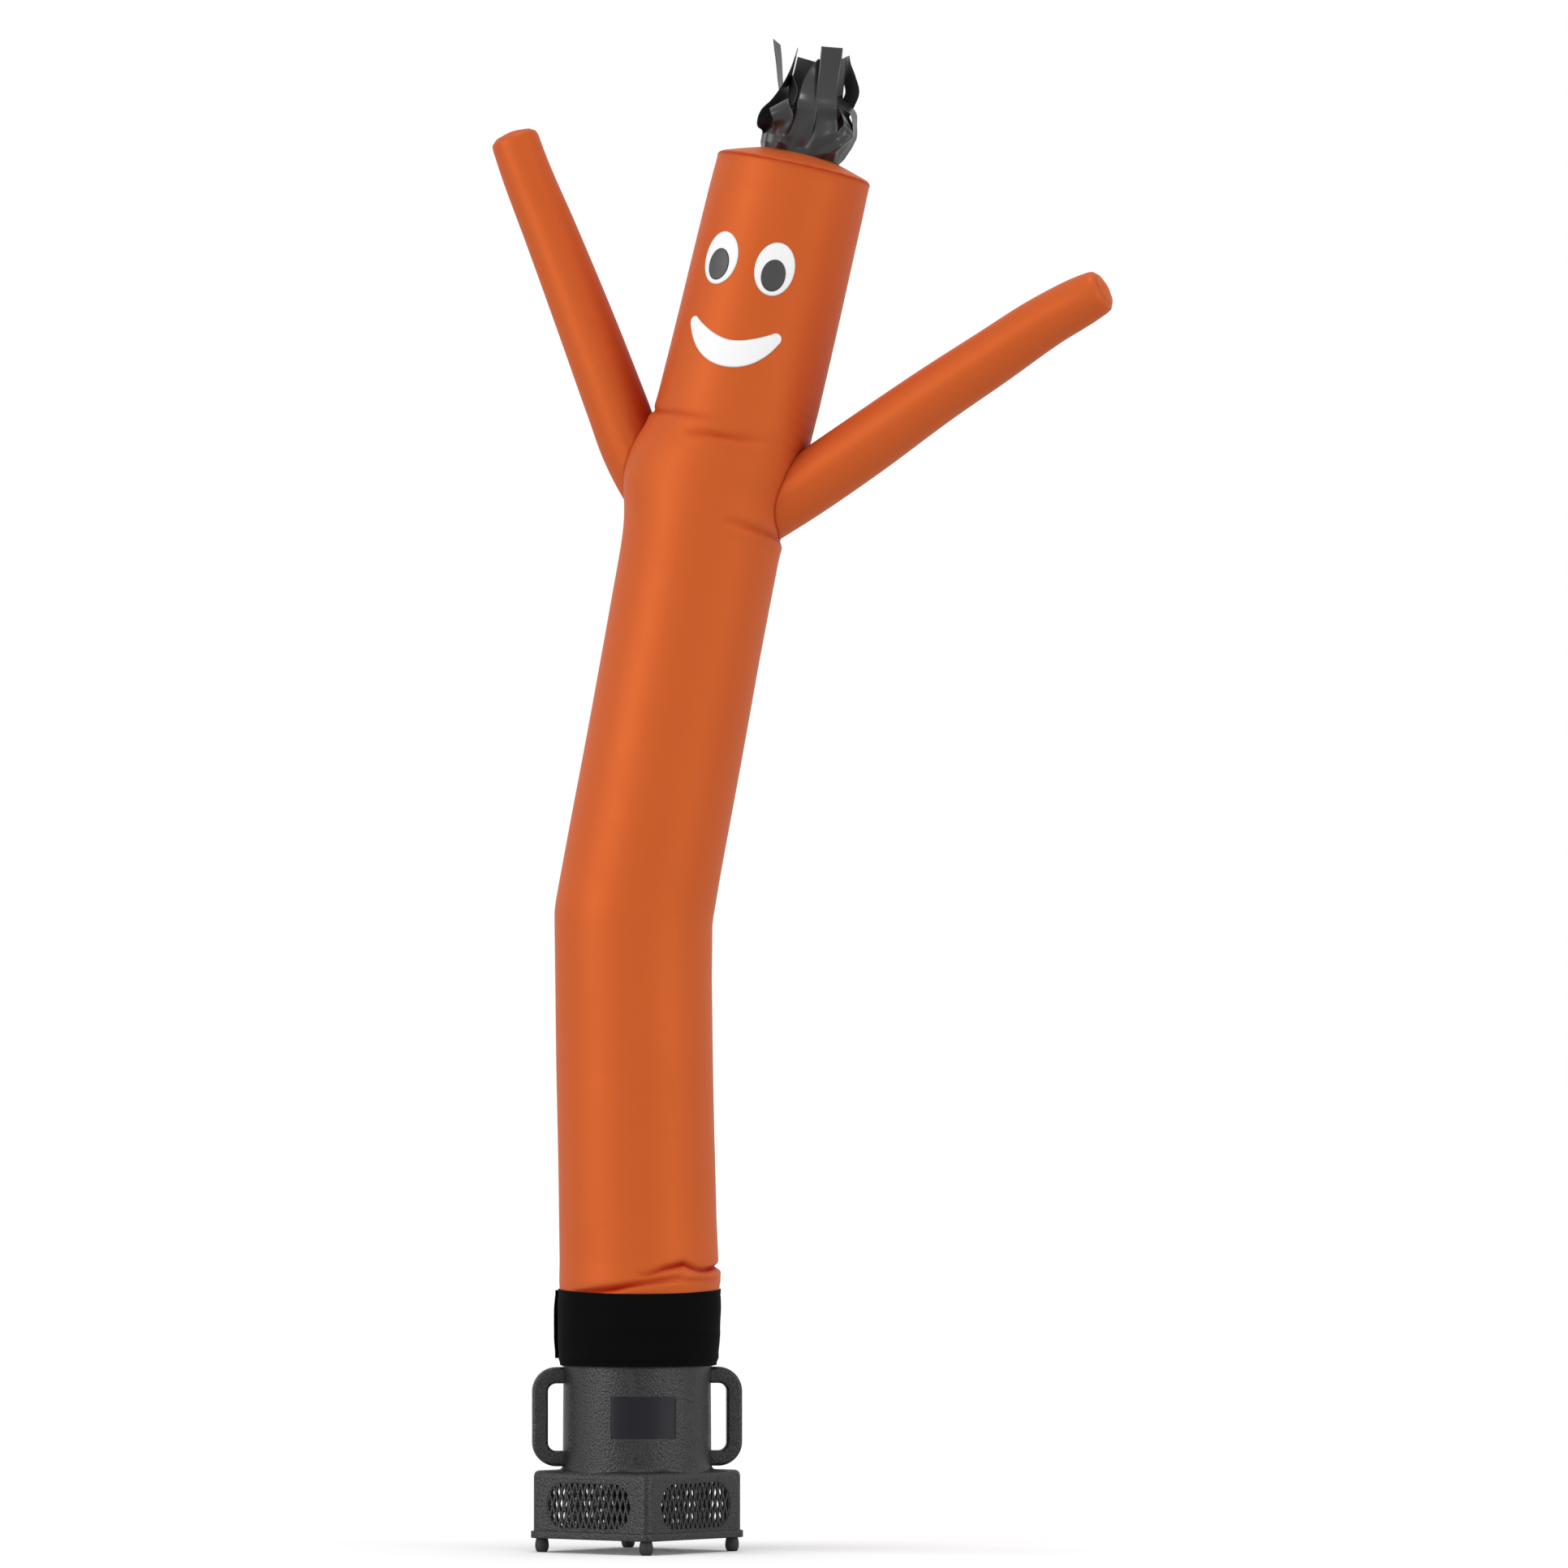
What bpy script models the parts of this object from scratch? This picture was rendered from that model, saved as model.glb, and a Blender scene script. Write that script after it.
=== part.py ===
"""An inflatable air dancer standing on its floor blower.

Sewn cloth: a leaning tube with a mitred waist, a domed top disc, two tapering
arms with end discs, slit streamers for hair, a face of sewn-on patches, and a
black sleeve that grips the blower. The blower is a moulded housing with
four lattice windows, a tray, feet and two bar handles. Metres, +Z up.
"""
import math

import bmesh
import bpy
import numpy as np

# Where the set stands: the origin is the middle of the floor under the whole outline
AXIS_X, AXIS_Y = -0.341, 0.070  # the blower's upright axis
FIT = 0.0003                    # clearance between neighbouring pieces
CLOTH = 0.002                   # wall of the sewn cloth
PATCH = 0.0012                  # thickness of a sewn-on face patch

# Blower, from the floor up
FOOT_TOP, FOOT_WAIST = 0.0286, 0.0130
FOOT_RADIUS, FOOT_TIP_RADIUS = 0.0145, 0.0120
FOOT_REACH = 0.1975             # foot centre from the axis
FOOT_SIDES = 16
TRAY_BOTTOM, TRAY_TOP = 0.0289, 0.0442
TRAY_HALF_SIDE, TRAY_CORNER = 0.1610, 0.0175
TRAY_OPEN_HALF_SIDE, TRAY_OPEN_CORNER = 0.1460, 0.0550
BOX_HALF_SIDE, BOX_CORNER = 0.1565, 0.0130
BOX_BOTTOM = 0.0445
DUCT_RADIUS, DUCT_TOP = 0.1525, 0.4490
WALL = 0.0040                   # moulded wall of the housing
SIDES = 40                      # facets round every piece on the blower's axis
HOUSING_ROWS = [  # height, inset of the box outline, largest radius, share of even spacing
    (BOX_BOTTOM, 0.0, 1.0, 0.0),
    (0.1570, 0.0, 1.0, 0.0),
    (0.1640, 0.0020, 1.0, 0.0),
    (0.1680, 0.0070, 1.0, 0.0),
    (0.1695, 0.0140, 0.1800, 0.3),
    (0.1730, 0.0200, 0.1660, 0.6),
    (0.1800, 0.0260, 0.1570, 0.9),
    (0.1920, 0.0400, DUCT_RADIUS, 1.0),
    (DUCT_TOP, 0.0400, DUCT_RADIUS, 1.0),
]
FILLET_ROW = 4                  # the row where the box top meets the fillet
COLLAR_RADIUS, COLLAR_BOTTOM, COLLAR_TOP = 0.1570, 0.3840, 0.3950
RIM_RADIUS, RIM_BOTTOM, RIM_TOP = 0.1590, 0.4390, 0.4500
RING_BITE = 0.0020              # how far a moulded ring reaches into the wall
NOTCH_WIDTH, NOTCH_DEPTH, NOTCH_ANGLE = 0.0200, 0.0035, -22.0
BAND_BOTTOM, BAND_TOP, BAND_THICKNESS = 0.3990, 0.4340, 0.0018

# Lattice windows, one in each side of the box
WINDOW_WIDTH, WINDOW_HEIGHT, WINDOW_CORNER = 0.2260, 0.0970, 0.0460
WINDOW_MIDDLE = 0.0985
GRILLE_THICKNESS, GRILLE_RECESS = 0.0030, 0.0010
GRILLE_RIM = 0.0025
WALL_CUT = 0.0300               # depth of the cutters that go through a wall
MESH_WIDTH, MESH_HEIGHT = 0.0283, 0.0485    # one diamond, nearly twice as wide as the real one
BAR_WIDTH = 0.0045
SMALLEST_HOLE = 0.000045        # square metres, below which a cut cell stays solid

# Bar handles
HANDLE_OUTSIDE, HANDLE_INSIDE = 0.2180, 0.1855
HANDLE_BOTTOM, HANDLE_TOP = 0.1770, 0.3820
GRIP_BOTTOM, GRIP_TOP = 0.2090, 0.3480
HANDLE_THICKNESS, HANDLE_ROUNDING = 0.0320, 0.0070
HANDLE_CORNER, GRIP_CORNER = 0.0500, 0.0170
HANDLE_ROOT = 0.1400            # buried end, cut back to the duct afterwards
HANDLE_FIT = 0.0008             # clearance over the fillet, whose facets are less even
DUCT_SPACE = (0.5000, 0.1000)   # top and bottom of the space cut out of the handles' roots

# Bare plate on the front of the duct
PLATE_WIDTH, PLATE_BOTTOM, PLATE_TOP = 0.1400, 0.2380, 0.3250
PLATE_CORNER, PLATE_THICKNESS = 0.0050, 0.0010
PLATE_LIFT = 0.0005             # off the duct, whose facets are flat
PLATE_COLUMNS = 14

# Sleeve that joins the tube to the blower
CUFF_CLOTH = 0.0025
CUFF_PROFILE = [  # height, outer radius, offset along X
    (0.3860, 0.1598, 0.0000),
    (0.3925, 0.1598, 0.0000),
    (0.4000, 0.1655, 0.0010),
    (0.4700, 0.1690, 0.0042),
    (0.5430, 0.1687, 0.0050),
]
FLAP_ROWS = [(0.3990, 0.75), (0.4200, 0.85), (0.4700, 1.0), (0.5400, 0.6)]  # height, share of standoff
FLAP_SEWN_ANGLE, FLAP_FREE_ANGLE, FLAP_COLUMNS = -150.0, -101.0, 8
FLAP_SEAT, FLAP_STANDOFF = 0.0008, 0.0065   # off the sleeve at the sewn end and at the free end

# Body tube: ring centre height, its offset along X, lean of the ring in degrees, radius
TUBE = [
    (0.5310, 0.0050, 0.0, 0.1652),
    (0.5440, 0.0050, 0.0, 0.1652),
    (0.5560, 0.0048, 0.0, 0.1662),
    (0.6000, 0.0040, 0.0, 0.1645),
    (0.6910, 0.0010, -1.0, 0.1630),
    (0.8590, -0.0025, -1.0, 0.1622),
    (1.1950, -0.0076, 0.0, 0.1622),
    (1.3150, -0.0076, 5.2, 0.1642),
    (1.4200, 0.0115, 10.3, 0.1630),
    (1.8670, 0.0935, 10.3, 0.1622),
    (2.0350, 0.1240, 10.3, 0.1632),
    (2.1360, 0.1425, 10.3, 0.1640),
    (2.1860, 0.1515, 10.8, 0.1645),
    (2.2600, 0.1720, 12.0, 0.1655),
    (2.3260, 0.1980, 13.0, 0.1652),
    (2.4000, 0.2160, 13.4, 0.1660),
    (2.6300, 0.2710, 13.4, 0.1640),
    (2.8000, 0.3118, 13.4, 0.1622),
    (2.8600, 0.3260, 13.4, 0.1605),
]
TUBE_SIDES = 32
# Ring heights besides the table's own, close together where the cloth creases
TUBE_LEVELS = [0.568, 0.578, 0.588, 0.612, 2.112, 2.124, 2.150, 2.222, 2.290, 2.303,
               2.314, 2.338, 2.355]
# Soft troughs: start angle, start height, end angle, end height, depth, half width
CREASES = [
    (2.0, 0.5830, 32.0, 0.5985, 0.0055, 0.0085),
    (32.0, 0.5985, 92.0, 0.5880, 0.0065, 0.0085),
    (-22.0, 0.5600, 22.0, 0.5690, 0.0030, 0.0070),
    (14.0, 2.1380, 64.0, 2.1350, 0.0050, 0.0090),
    (60.0, 2.1300, 100.0, 2.1240, 0.0055, 0.0100),
    (-110.0, 2.3280, -24.0, 2.3300, 0.0070, 0.0110),
    (-42.0, 2.3060, 74.0, 2.3230, 0.0060, 0.0120),
]
CREASE_FADE = 14.0              # degrees over which a trough starts and ends
# Swellings: angle, height, amount, spread in degrees, spread in height
SWELLINGS = [
    (-98.0, 2.2580, 0.0270, 42.0, 0.0420),
    (80.0, 2.2500, 0.0080, 40.0, 0.0450),
    (80.0, 0.5620, 0.0022, 40.0, 0.0100),
]

# Arms: distance out from the shoulder line, height, radius
SHOULDER_X = 0.190
TORSO = (1.900, 2.700)          # the part of the tube that the arms are cut to meet
ARM_TURN = -23.5                # the whole figure faces a little to its right
ARM_RIGHT = [
    (0.0000, 2.1050, 0.0645),
    (0.1800, 2.2120, 0.0645),
    (0.2860, 2.2810, 0.0642),
    (0.4540, 2.3930, 0.0600),
    (0.5690, 2.4650, 0.0575),
    (0.6880, 2.5400, 0.0535),
    (0.7740, 2.5850, 0.0490),
    (0.8110, 2.6030, 0.0435),
]
ARM_LEFT = [
    (-0.1200, 2.1500, 0.0660),
    (-0.1760, 2.2260, 0.0655),
    (-0.2060, 2.2800, 0.0645),
    (-0.2430, 2.3730, 0.0635),
    (-0.3030, 2.5260, 0.0605),
    (-0.3860, 2.7300, 0.0550),
    (-0.4480, 2.8780, 0.0495),
    (-0.4720, 2.9290, 0.0450),
]
ARM_SIDES, ARM_RINGS = 20, 13
ARM_HOLE_RINGS = 6              # rings of the arm's path that the armhole cutter uses

# Domed discs: share of the rim radius, height
TOP_DISC = [(0.0, 0.0350), (0.45, 0.0328), (0.76, 0.0255), (0.93, 0.0155), (1.0, 0.0040),
            (1.0, 0.0)]
ARM_DISC = [(0.0, 0.0125), (0.60, 0.0105), (0.90, 0.0060), (1.0, 0.0015), (1.0, 0.0)]

# Face, on the leaning head: arc from the face's middle, height of the ring
FACE_ANGLE = -23.5
EYE_ARC, EYE_HEIGHT, EYE_WIDTH, EYE_LENGTH = 0.0615, 2.6500, 0.084, 0.111
PUPIL_DROP, PUPIL_WIDTH, PUPIL_LENGTH = 0.0130, 0.050, 0.065
SMILE_WIDTH, SMILE_MIDDLE, SMILE_RISE = 0.206, 2.4615, 0.050
SMILE_THICKNESS, SMILE_TIP = 0.055, 0.0115  # across its middle, radius of its round ends
PATCH_LIFT = 0.0005
PATCH_COLUMNS, SMILE_COLUMNS = 12, 20

# Streamers slit from one gathered band
HAIR_CLOTH = 0.0015
HAIR_SEAT = 0.0320              # height of the band's foot over the top disc's rim
HAIR_BAND = [(0.000, 0.083), (0.020, 0.086), (0.042, 0.093), (0.060, 0.097)]
HAIR_RIPPLE, HAIR_RIPPLES = 0.003, 5
HAIR_SLIT = 2.6                 # degrees between two strips
HAIR_STRIPS = [  # angle, width, tip height, middle radius, tip radius, tip's sideways shift
    (-165.0, 0.044, 0.176, 0.088, 0.084, 0.000),
    (-135.0, 0.022, 0.212, 0.066, 0.060, 0.000),
    (-105.0, 0.036, 0.213, 0.076, 0.096, 0.000),
    (-75.0, 0.042, 0.098, 0.120, 0.108, 0.000),
    (-45.0, 0.040, 0.160, 0.096, 0.062, 0.000),
    (-15.0, 0.042, 0.194, 0.074, 0.056, -0.012),
    (15.0, 0.046, 0.230, 0.092, 0.090, -0.012),
    (45.0, 0.040, 0.172, 0.070, 0.050, 0.000),
    (75.0, 0.040, 0.220, 0.104, 0.056, 0.000),
    (105.0, 0.042, 0.150, 0.082, 0.106, 0.000),
    (135.0, 0.044, 0.190, 0.104, 0.094, 0.000),
    (165.0, 0.042, 0.165, 0.070, 0.054, 0.000),
]
STRIP_ROWS = 5


def start_scene():
    """Empty the scene and return the collections for parts and cutters and the stand's empty."""
    for old in list(bpy.data.objects):
        bpy.data.objects.remove(old)
    parts = bpy.data.collections.new("air_dancer")
    cutters = bpy.data.collections.new("cutters")
    for collection in (parts, cutters):
        bpy.context.scene.collection.children.link(collection)
    stand = bpy.data.objects.new("blower_axis", None)
    stand.location = (AXIS_X, AXIS_Y, 0.0)
    parts.objects.link(stand)
    return parts, cutters, stand


PARTS, CUTTERS, STAND = start_scene()


def finish(name, colour, roughness, metallic=0.0):
    """A plain material of one colour."""
    material = bpy.data.materials.new(name)
    material.use_nodes = True
    shader = material.node_tree.nodes["Principled BSDF"]
    shader.inputs["Base Color"].default_value = (*colour, 1.0)
    shader.inputs["Roughness"].default_value = roughness
    shader.inputs["Metallic"].default_value = metallic
    return material


ORANGE = finish("orange nylon", (0.58, 0.12, 0.030), 0.45)
WHITE = finish("white cloth", (0.85, 0.85, 0.85), 0.5)
GREY = finish("dark grey cloth", (0.045, 0.045, 0.047), 0.5)
HAIR_BLACK = finish("black satin cloth", (0.020, 0.020, 0.021), 0.35)
SLEEVE = finish("black sleeve cloth", (0.006, 0.006, 0.007), 0.9)
PLASTIC = finish("grained black plastic", (0.030, 0.030, 0.031), 0.55)
RUBBER = finish("black rubber", (0.025, 0.025, 0.025), 0.7)
GLOSSY = finish("glossy black plate", (0.012, 0.011, 0.012), 0.25)


def place(name, mesh, material, cutter=False):
    """Put a mesh on the stand as a named part, or as a cutter that isn't part of it."""
    mesh.materials.clear()
    mesh.materials.append(material)
    obj = bpy.data.objects.new(name, mesh)
    (CUTTERS if cutter else PARTS).objects.link(obj)
    obj.parent = STAND
    if cutter:
        obj.hide_render = True
        obj.display_type = "WIRE"
    return obj


def round_shading(mesh, sharp_degrees=40.0):
    mesh.shade_smooth()
    mesh.set_sharp_from_angle(angle=math.radians(sharp_degrees))


def thicken(obj, wall, outwards=False):
    """Give an open surface its wall."""
    solidify = obj.modifiers.new("Wall", "SOLIDIFY")
    solidify.thickness = wall
    solidify.offset = 1.0 if outwards else -1.0
    solidify.use_even_offset = True


def combine(obj, other, operation):
    """Cut with another object, or join it on."""
    boolean = obj.modifiers.new(operation.title(), "BOOLEAN")
    boolean.operation = operation
    boolean.object = other
    boolean.solver = "EXACT"


def skin(name, rings, material, wrap=True, caps=False, cutter=False):
    """Quads between rows of points; the columns run anticlockwise seen from the last row."""
    rings = np.asarray(rings)
    rows, columns = rings.shape[:2]
    here = np.arange(columns if wrap else columns - 1)
    after = (here + 1) % columns
    faces = []
    for row in range(rows - 1):
        low, high = row * columns, (row + 1) * columns
        faces += [(low + i, low + j, high + j, high + i) for i, j in zip(here, after)]
    if caps:
        faces.append(tuple(range(columns - 1, -1, -1)))
        faces.append(tuple(range((rows - 1) * columns, rows * columns)))
    mesh = bpy.data.meshes.new(name)
    mesh.from_pydata(rings.reshape(-1, 3).tolist(), [], [tuple(map(int, f)) for f in faces])
    tidy = bmesh.new()
    tidy.from_mesh(mesh)
    bmesh.ops.remove_doubles(tidy, verts=tidy.verts, dist=1e-5)
    tidy.to_mesh(mesh)
    tidy.free()
    round_shading(mesh)
    return place(name, mesh, material, cutter)


def turned(name, profile, steps, material, closed=False, cutter=False):
    """Spin a (radius, height) profile, given from the top down its outer side."""
    edges = [(i, i + 1) for i in range(len(profile) - 1)]
    if closed:
        edges.append((len(profile) - 1, 0))
    mesh = bpy.data.meshes.new(name)
    mesh.from_pydata([(radius, 0.0, height) for radius, height in profile], edges, [])
    obj = place(name, mesh, material, cutter)
    screw = obj.modifiers.new("Turn", "SCREW")
    screw.steps = steps
    screw.render_steps = steps
    screw.use_merge_vertices = True
    screw.merge_threshold = 1e-5
    return obj


def flat_mesh(name, outlines, thickness):
    """A flat plate from its outline and its holes, as a mesh in its own XY plane."""
    curve = bpy.data.curves.new(name, "CURVE")
    curve.dimensions = "2D"
    curve.fill_mode = "BOTH"
    curve.extrude = thickness / 2
    for outline in outlines:
        spline = curve.splines.new("POLY")
        spline.points.add(len(outline) - 1)
        spline.use_cyclic_u = True
        for point, (across, up) in zip(spline.points, outline):
            point.co = (across, up, 0.0, 1.0)
    guide = bpy.data.objects.new(name + "_outline", curve)
    PARTS.objects.link(guide)
    depsgraph = bpy.context.evaluated_depsgraph_get()
    mesh = bpy.data.meshes.new_from_object(guide.evaluated_get(depsgraph))
    bpy.data.objects.remove(guide)
    weld = bmesh.new()
    weld.from_mesh(mesh)
    bmesh.ops.remove_doubles(weld, verts=weld.verts, dist=1e-5)
    weld.to_mesh(mesh)
    weld.free()
    mesh.name = name
    return mesh


def arc(centre, radius, start, end, steps):
    """Points on a circle from one angle to another, in degrees."""
    angles = np.radians(np.linspace(start, end, steps + 1))
    return [(centre[0] + radius * math.cos(a), centre[1] + radius * math.sin(a)) for a in angles]


def rounded_rectangle(half_width, half_height, corner, steps):
    x, y = half_width - corner, half_height - corner
    return (arc((x, -y), corner, -90, 0, steps) + arc((x, y), corner, 0, 90, steps)
            + arc((-x, y), corner, 90, 180, steps) + arc((-x, -y), corner, 180, 270, steps))


def around(angle_degrees, radius, height):
    """A point on the blower's axis system; angles start at the front and turn to the right."""
    angle = np.radians(angle_degrees)
    return np.stack(np.broadcast_arrays(radius * np.sin(angle), -radius * np.cos(angle), height), -1)


def box_radius(angle_degrees, half_side, corner):
    """Distance from the axis to a rounded square whose corners point to the front and sides."""
    off_corner = np.abs((np.asarray(angle_degrees) + 45.0) % 90.0 - 45.0)
    centre = (half_side - corner) * math.sqrt(2)
    arc_ends = 45.0 - math.degrees(math.atan2(half_side - corner, half_side))
    turn = np.radians(off_corner)
    on_arc = centre * np.cos(turn) + np.sqrt(np.maximum(corner**2 - (centre * np.sin(turn)) ** 2, 0))
    on_flat = half_side / np.cos(np.radians(45.0 - off_corner))
    return np.where(off_corner < arc_ends, on_arc, on_flat)


def box_angles():
    """Facet angles that crowd together at the box's four corners."""
    corner_end = 45.0 - math.degrees(math.atan2(BOX_HALF_SIDE - BOX_CORNER, BOX_HALF_SIDE))
    flats = np.linspace(corner_end, 90.0 - corner_end, SIDES // 4 - 3)
    quarter = np.concatenate([[0.0, corner_end / 2], flats, [90.0 - corner_end / 2]])
    return np.concatenate([quarter + 90.0 * side for side in range(4)])


def make_housing():
    """Box, fillet and duct in one moulded shell, with its two rings, windows and rim notch."""
    corner_crowded, even = box_angles(), np.arange(SIDES) * 360.0 / SIDES
    rings = []
    for height, inset, largest, share in HOUSING_ROWS:
        angles = corner_crowded * (1 - share) + even * share
        outline = box_radius(angles, BOX_HALF_SIDE, BOX_CORNER) - inset
        rings.append(around(angles, np.maximum(DUCT_RADIUS, np.minimum(outline, largest)), height))
    housing = skin("housing", rings, PLASTIC)
    thicken(housing, WALL)
    for name, radius, bottom, top in (("collar", COLLAR_RADIUS, COLLAR_BOTTOM, COLLAR_TOP),
                                      ("rim", RIM_RADIUS, RIM_BOTTOM, RIM_TOP)):
        inner = DUCT_RADIUS - RING_BITE
        ring = turned(name, [(radius, top), (radius, bottom), (inner, bottom), (inner, top)],
                      SIDES, PLASTIC, closed=True, cutter=True)
        combine(housing, ring, "UNION")
    window = flat_mesh("window", [window_outline(0.0)], WALL_CUT)
    for side in range(4):
        cutter = place(f"window_{side}", window, PLASTIC, cutter=True)
        stand_on_side(cutter, 45.0 + 90.0 * side, BOX_HALF_SIDE)
        combine(housing, cutter, "DIFFERENCE")
    bpy.ops.mesh.primitive_cube_add(size=1.0)
    notch = bpy.context.active_object
    notch_mesh = notch.data
    bpy.data.objects.remove(notch)
    notch = place("rim_notch", notch_mesh, PLASTIC, cutter=True)
    notch.scale = (NOTCH_WIDTH, WALL_CUT, 2 * NOTCH_DEPTH)
    notch.location = around(NOTCH_ANGLE, RIM_RADIUS, RIM_TOP).tolist()
    notch.rotation_euler.z = math.radians(NOTCH_ANGLE)
    combine(housing, notch, "DIFFERENCE")


def window_outline(shrink):
    return rounded_rectangle(WINDOW_WIDTH / 2 - shrink, WINDOW_HEIGHT / 2 - shrink,
                             WINDOW_CORNER - shrink, 5)


def stand_on_side(obj, angle_degrees, distance):
    """Stand a flat plate upright, facing out, at a distance from the axis."""
    obj.rotation_euler = (math.radians(90.0), 0.0, math.radians(angle_degrees))
    obj.location = around(angle_degrees, distance, WINDOW_MIDDLE).tolist()


def clipped(shape, frame):
    """The part of one convex outline that lies inside another, both anticlockwise."""
    for (ax, ay), (bx, by) in zip(frame, frame[1:] + frame[:1]):
        def side(point):
            return (bx - ax) * (point[1] - ay) - (by - ay) * (point[0] - ax)
        kept = []
        for here, after in zip(shape, shape[1:] + shape[:1]):
            inside, next_inside = side(here), side(after)
            if inside >= 0:
                kept.append(here)
            if inside * next_inside < 0:
                share = inside / (inside - next_inside)
                kept.append(tuple(h + share * (a - h) for h, a in zip(here, after)))
        shape = kept
        if len(shape) < 3:
            return []
    return shape


def outline_area(shape):
    return 0.5 * sum(ax * by - bx * ay for (ax, ay), (bx, by) in zip(shape, shape[1:] + shape[:1]))


def lattice_holes():
    """Diamond holes between two families of slanted bars, cut off at the window's rim."""
    half_width, half_height = MESH_WIDTH / 2, MESH_HEIGHT / 2
    to_bar = half_width * half_height / math.hypot(half_width, half_height)
    open_share = 1 - BAR_WIDTH / 2 / to_bar
    frame = window_outline(GRILLE_RIM)
    holes = []
    columns = math.ceil(WINDOW_WIDTH / half_width / 2)
    for row in range(-2, 3):
        for column in range(-columns, columns + 1):
            if (row + column) % 2:
                continue
            x, y = column * half_width, row * half_height
            diamond = [(x + half_width * open_share, y), (x, y + half_height * open_share),
                       (x - half_width * open_share, y), (x, y - half_height * open_share)]
            hole = clipped(diamond, frame)
            if hole and outline_area(hole) > SMALLEST_HOLE:
                holes.append(hole)
    return holes


def make_grilles():
    lattice = flat_mesh("grille", [window_outline(FIT)] + lattice_holes(), GRILLE_THICKNESS)
    middle = BOX_HALF_SIDE - GRILLE_RECESS - GRILLE_THICKNESS / 2
    for name, angle in (("grille_front_right", 45), ("grille_back_right", 135),
                        ("grille_back_left", 225), ("grille_front_left", 315)):
        stand_on_side(place(name, lattice, PLASTIC), angle, middle)


def make_tray_and_feet():
    outer = rounded_rectangle(TRAY_HALF_SIDE, TRAY_HALF_SIDE, TRAY_CORNER, 4)
    inner = rounded_rectangle(TRAY_OPEN_HALF_SIDE, TRAY_OPEN_HALF_SIDE, TRAY_OPEN_CORNER, 4)
    tray = place("base_tray", flat_mesh("base_tray", [outer, inner], TRAY_TOP - TRAY_BOTTOM), PLASTIC)
    tray.location.z = (TRAY_TOP + TRAY_BOTTOM) / 2
    tray.rotation_euler.z = math.radians(45.0)
    profile = [(0.0, FOOT_TOP), (FOOT_RADIUS, FOOT_TOP), (FOOT_RADIUS, FOOT_WAIST),
               (FOOT_TIP_RADIUS, 0.0), (0.0, 0.0)]
    for name, angle in (("foot_front", 0), ("foot_right", 90), ("foot_back", 180), ("foot_left", 270)):
        foot = turned(name, profile, FOOT_SIDES, RUBBER)
        foot.location = around(angle, FOOT_REACH, 0.0).tolist()


def make_handles():
    """Two bent bars whose ends are cut back to the duct."""
    outer_x = HANDLE_OUTSIDE - HANDLE_CORNER
    inner_x = HANDLE_INSIDE - GRIP_CORNER
    outline = ([(HANDLE_ROOT, HANDLE_BOTTOM)]
               + arc((outer_x, HANDLE_BOTTOM + HANDLE_CORNER), HANDLE_CORNER, -90, 0, 6)
               + arc((outer_x, HANDLE_TOP - HANDLE_CORNER), HANDLE_CORNER, 0, 90, 6)
               + [(HANDLE_ROOT, HANDLE_TOP), (HANDLE_ROOT, GRIP_TOP)]
               + arc((inner_x, GRIP_TOP - GRIP_CORNER), GRIP_CORNER, 90, 0, 4)
               + arc((inner_x, GRIP_BOTTOM + GRIP_CORNER), GRIP_CORNER, 0, -90, 4)
               + [(HANDLE_ROOT, GRIP_BOTTOM)])
    bar = flat_mesh("handle", [outline], HANDLE_THICKNESS)
    fillet = [(largest + HANDLE_FIT, height) for height, _, largest, _ in HOUSING_ROWS[FILLET_ROW:-2]]
    seat = DUCT_RADIUS + FIT
    above, below = DUCT_SPACE
    profile = ([(0.0, above), (seat, above), (seat, HOUSING_ROWS[-2][0] + HANDLE_FIT)] + fillet[::-1]
               + [(0.0, below)])
    duct = turned("duct_space", profile, SIDES, PLASTIC, cutter=True)
    for name, turn in (("handle_right", 0.0), ("handle_left", 180.0)):
        handle = place(name, bar, PLASTIC)
        handle.rotation_euler = (math.radians(90.0), 0.0, math.radians(turn))
        bevel = handle.modifiers.new("Rounded edges", "BEVEL")
        bevel.width = HANDLE_ROUNDING
        bevel.segments = 2
        bevel.limit_method = "ANGLE"
        bevel.angle_limit = math.radians(60.0)
        combine(handle, duct, "DIFFERENCE")


def make_hook_band():
    inner = DUCT_RADIUS + FIT
    outer = inner + BAND_THICKNESS
    turned("hook_band", [(outer, BAND_TOP), (outer, BAND_BOTTOM), (inner, BAND_BOTTOM),
                         (inner, BAND_TOP)], SIDES, SLEEVE, closed=True)


def wrapped_patch(name, half_width, top, bottom, surface, thickness, material, columns):
    """A thin patch on a curved surface: two edges, top and bottom, over its width."""
    across = np.sin(np.radians(np.linspace(-90.0, 90.0, columns + 1)))
    rows = [surface(half_width * across, edge(across)) for edge in (bottom, top)]
    patch = skin(name, rows, material, wrap=False)
    thicken(patch, thickness, outwards=True)
    return patch


def make_plate():
    radius = DUCT_RADIUS + PLATE_LIFT
    half = PLATE_WIDTH / 2

    def cut_corner(across):
        inset = PLATE_CORNER - np.minimum(half * (1 - np.abs(across)), PLATE_CORNER)
        return PLATE_CORNER - np.sqrt(PLATE_CORNER**2 - inset**2)

    wrapped_patch("label_plate", half,
                  lambda across: PLATE_TOP - cut_corner(across),
                  lambda across: PLATE_BOTTOM + cut_corner(across),
                  lambda arc_length, height: around(np.degrees(arc_length / radius), radius, height),
                  PLATE_THICKNESS, GLOSSY, PLATE_COLUMNS)


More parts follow.
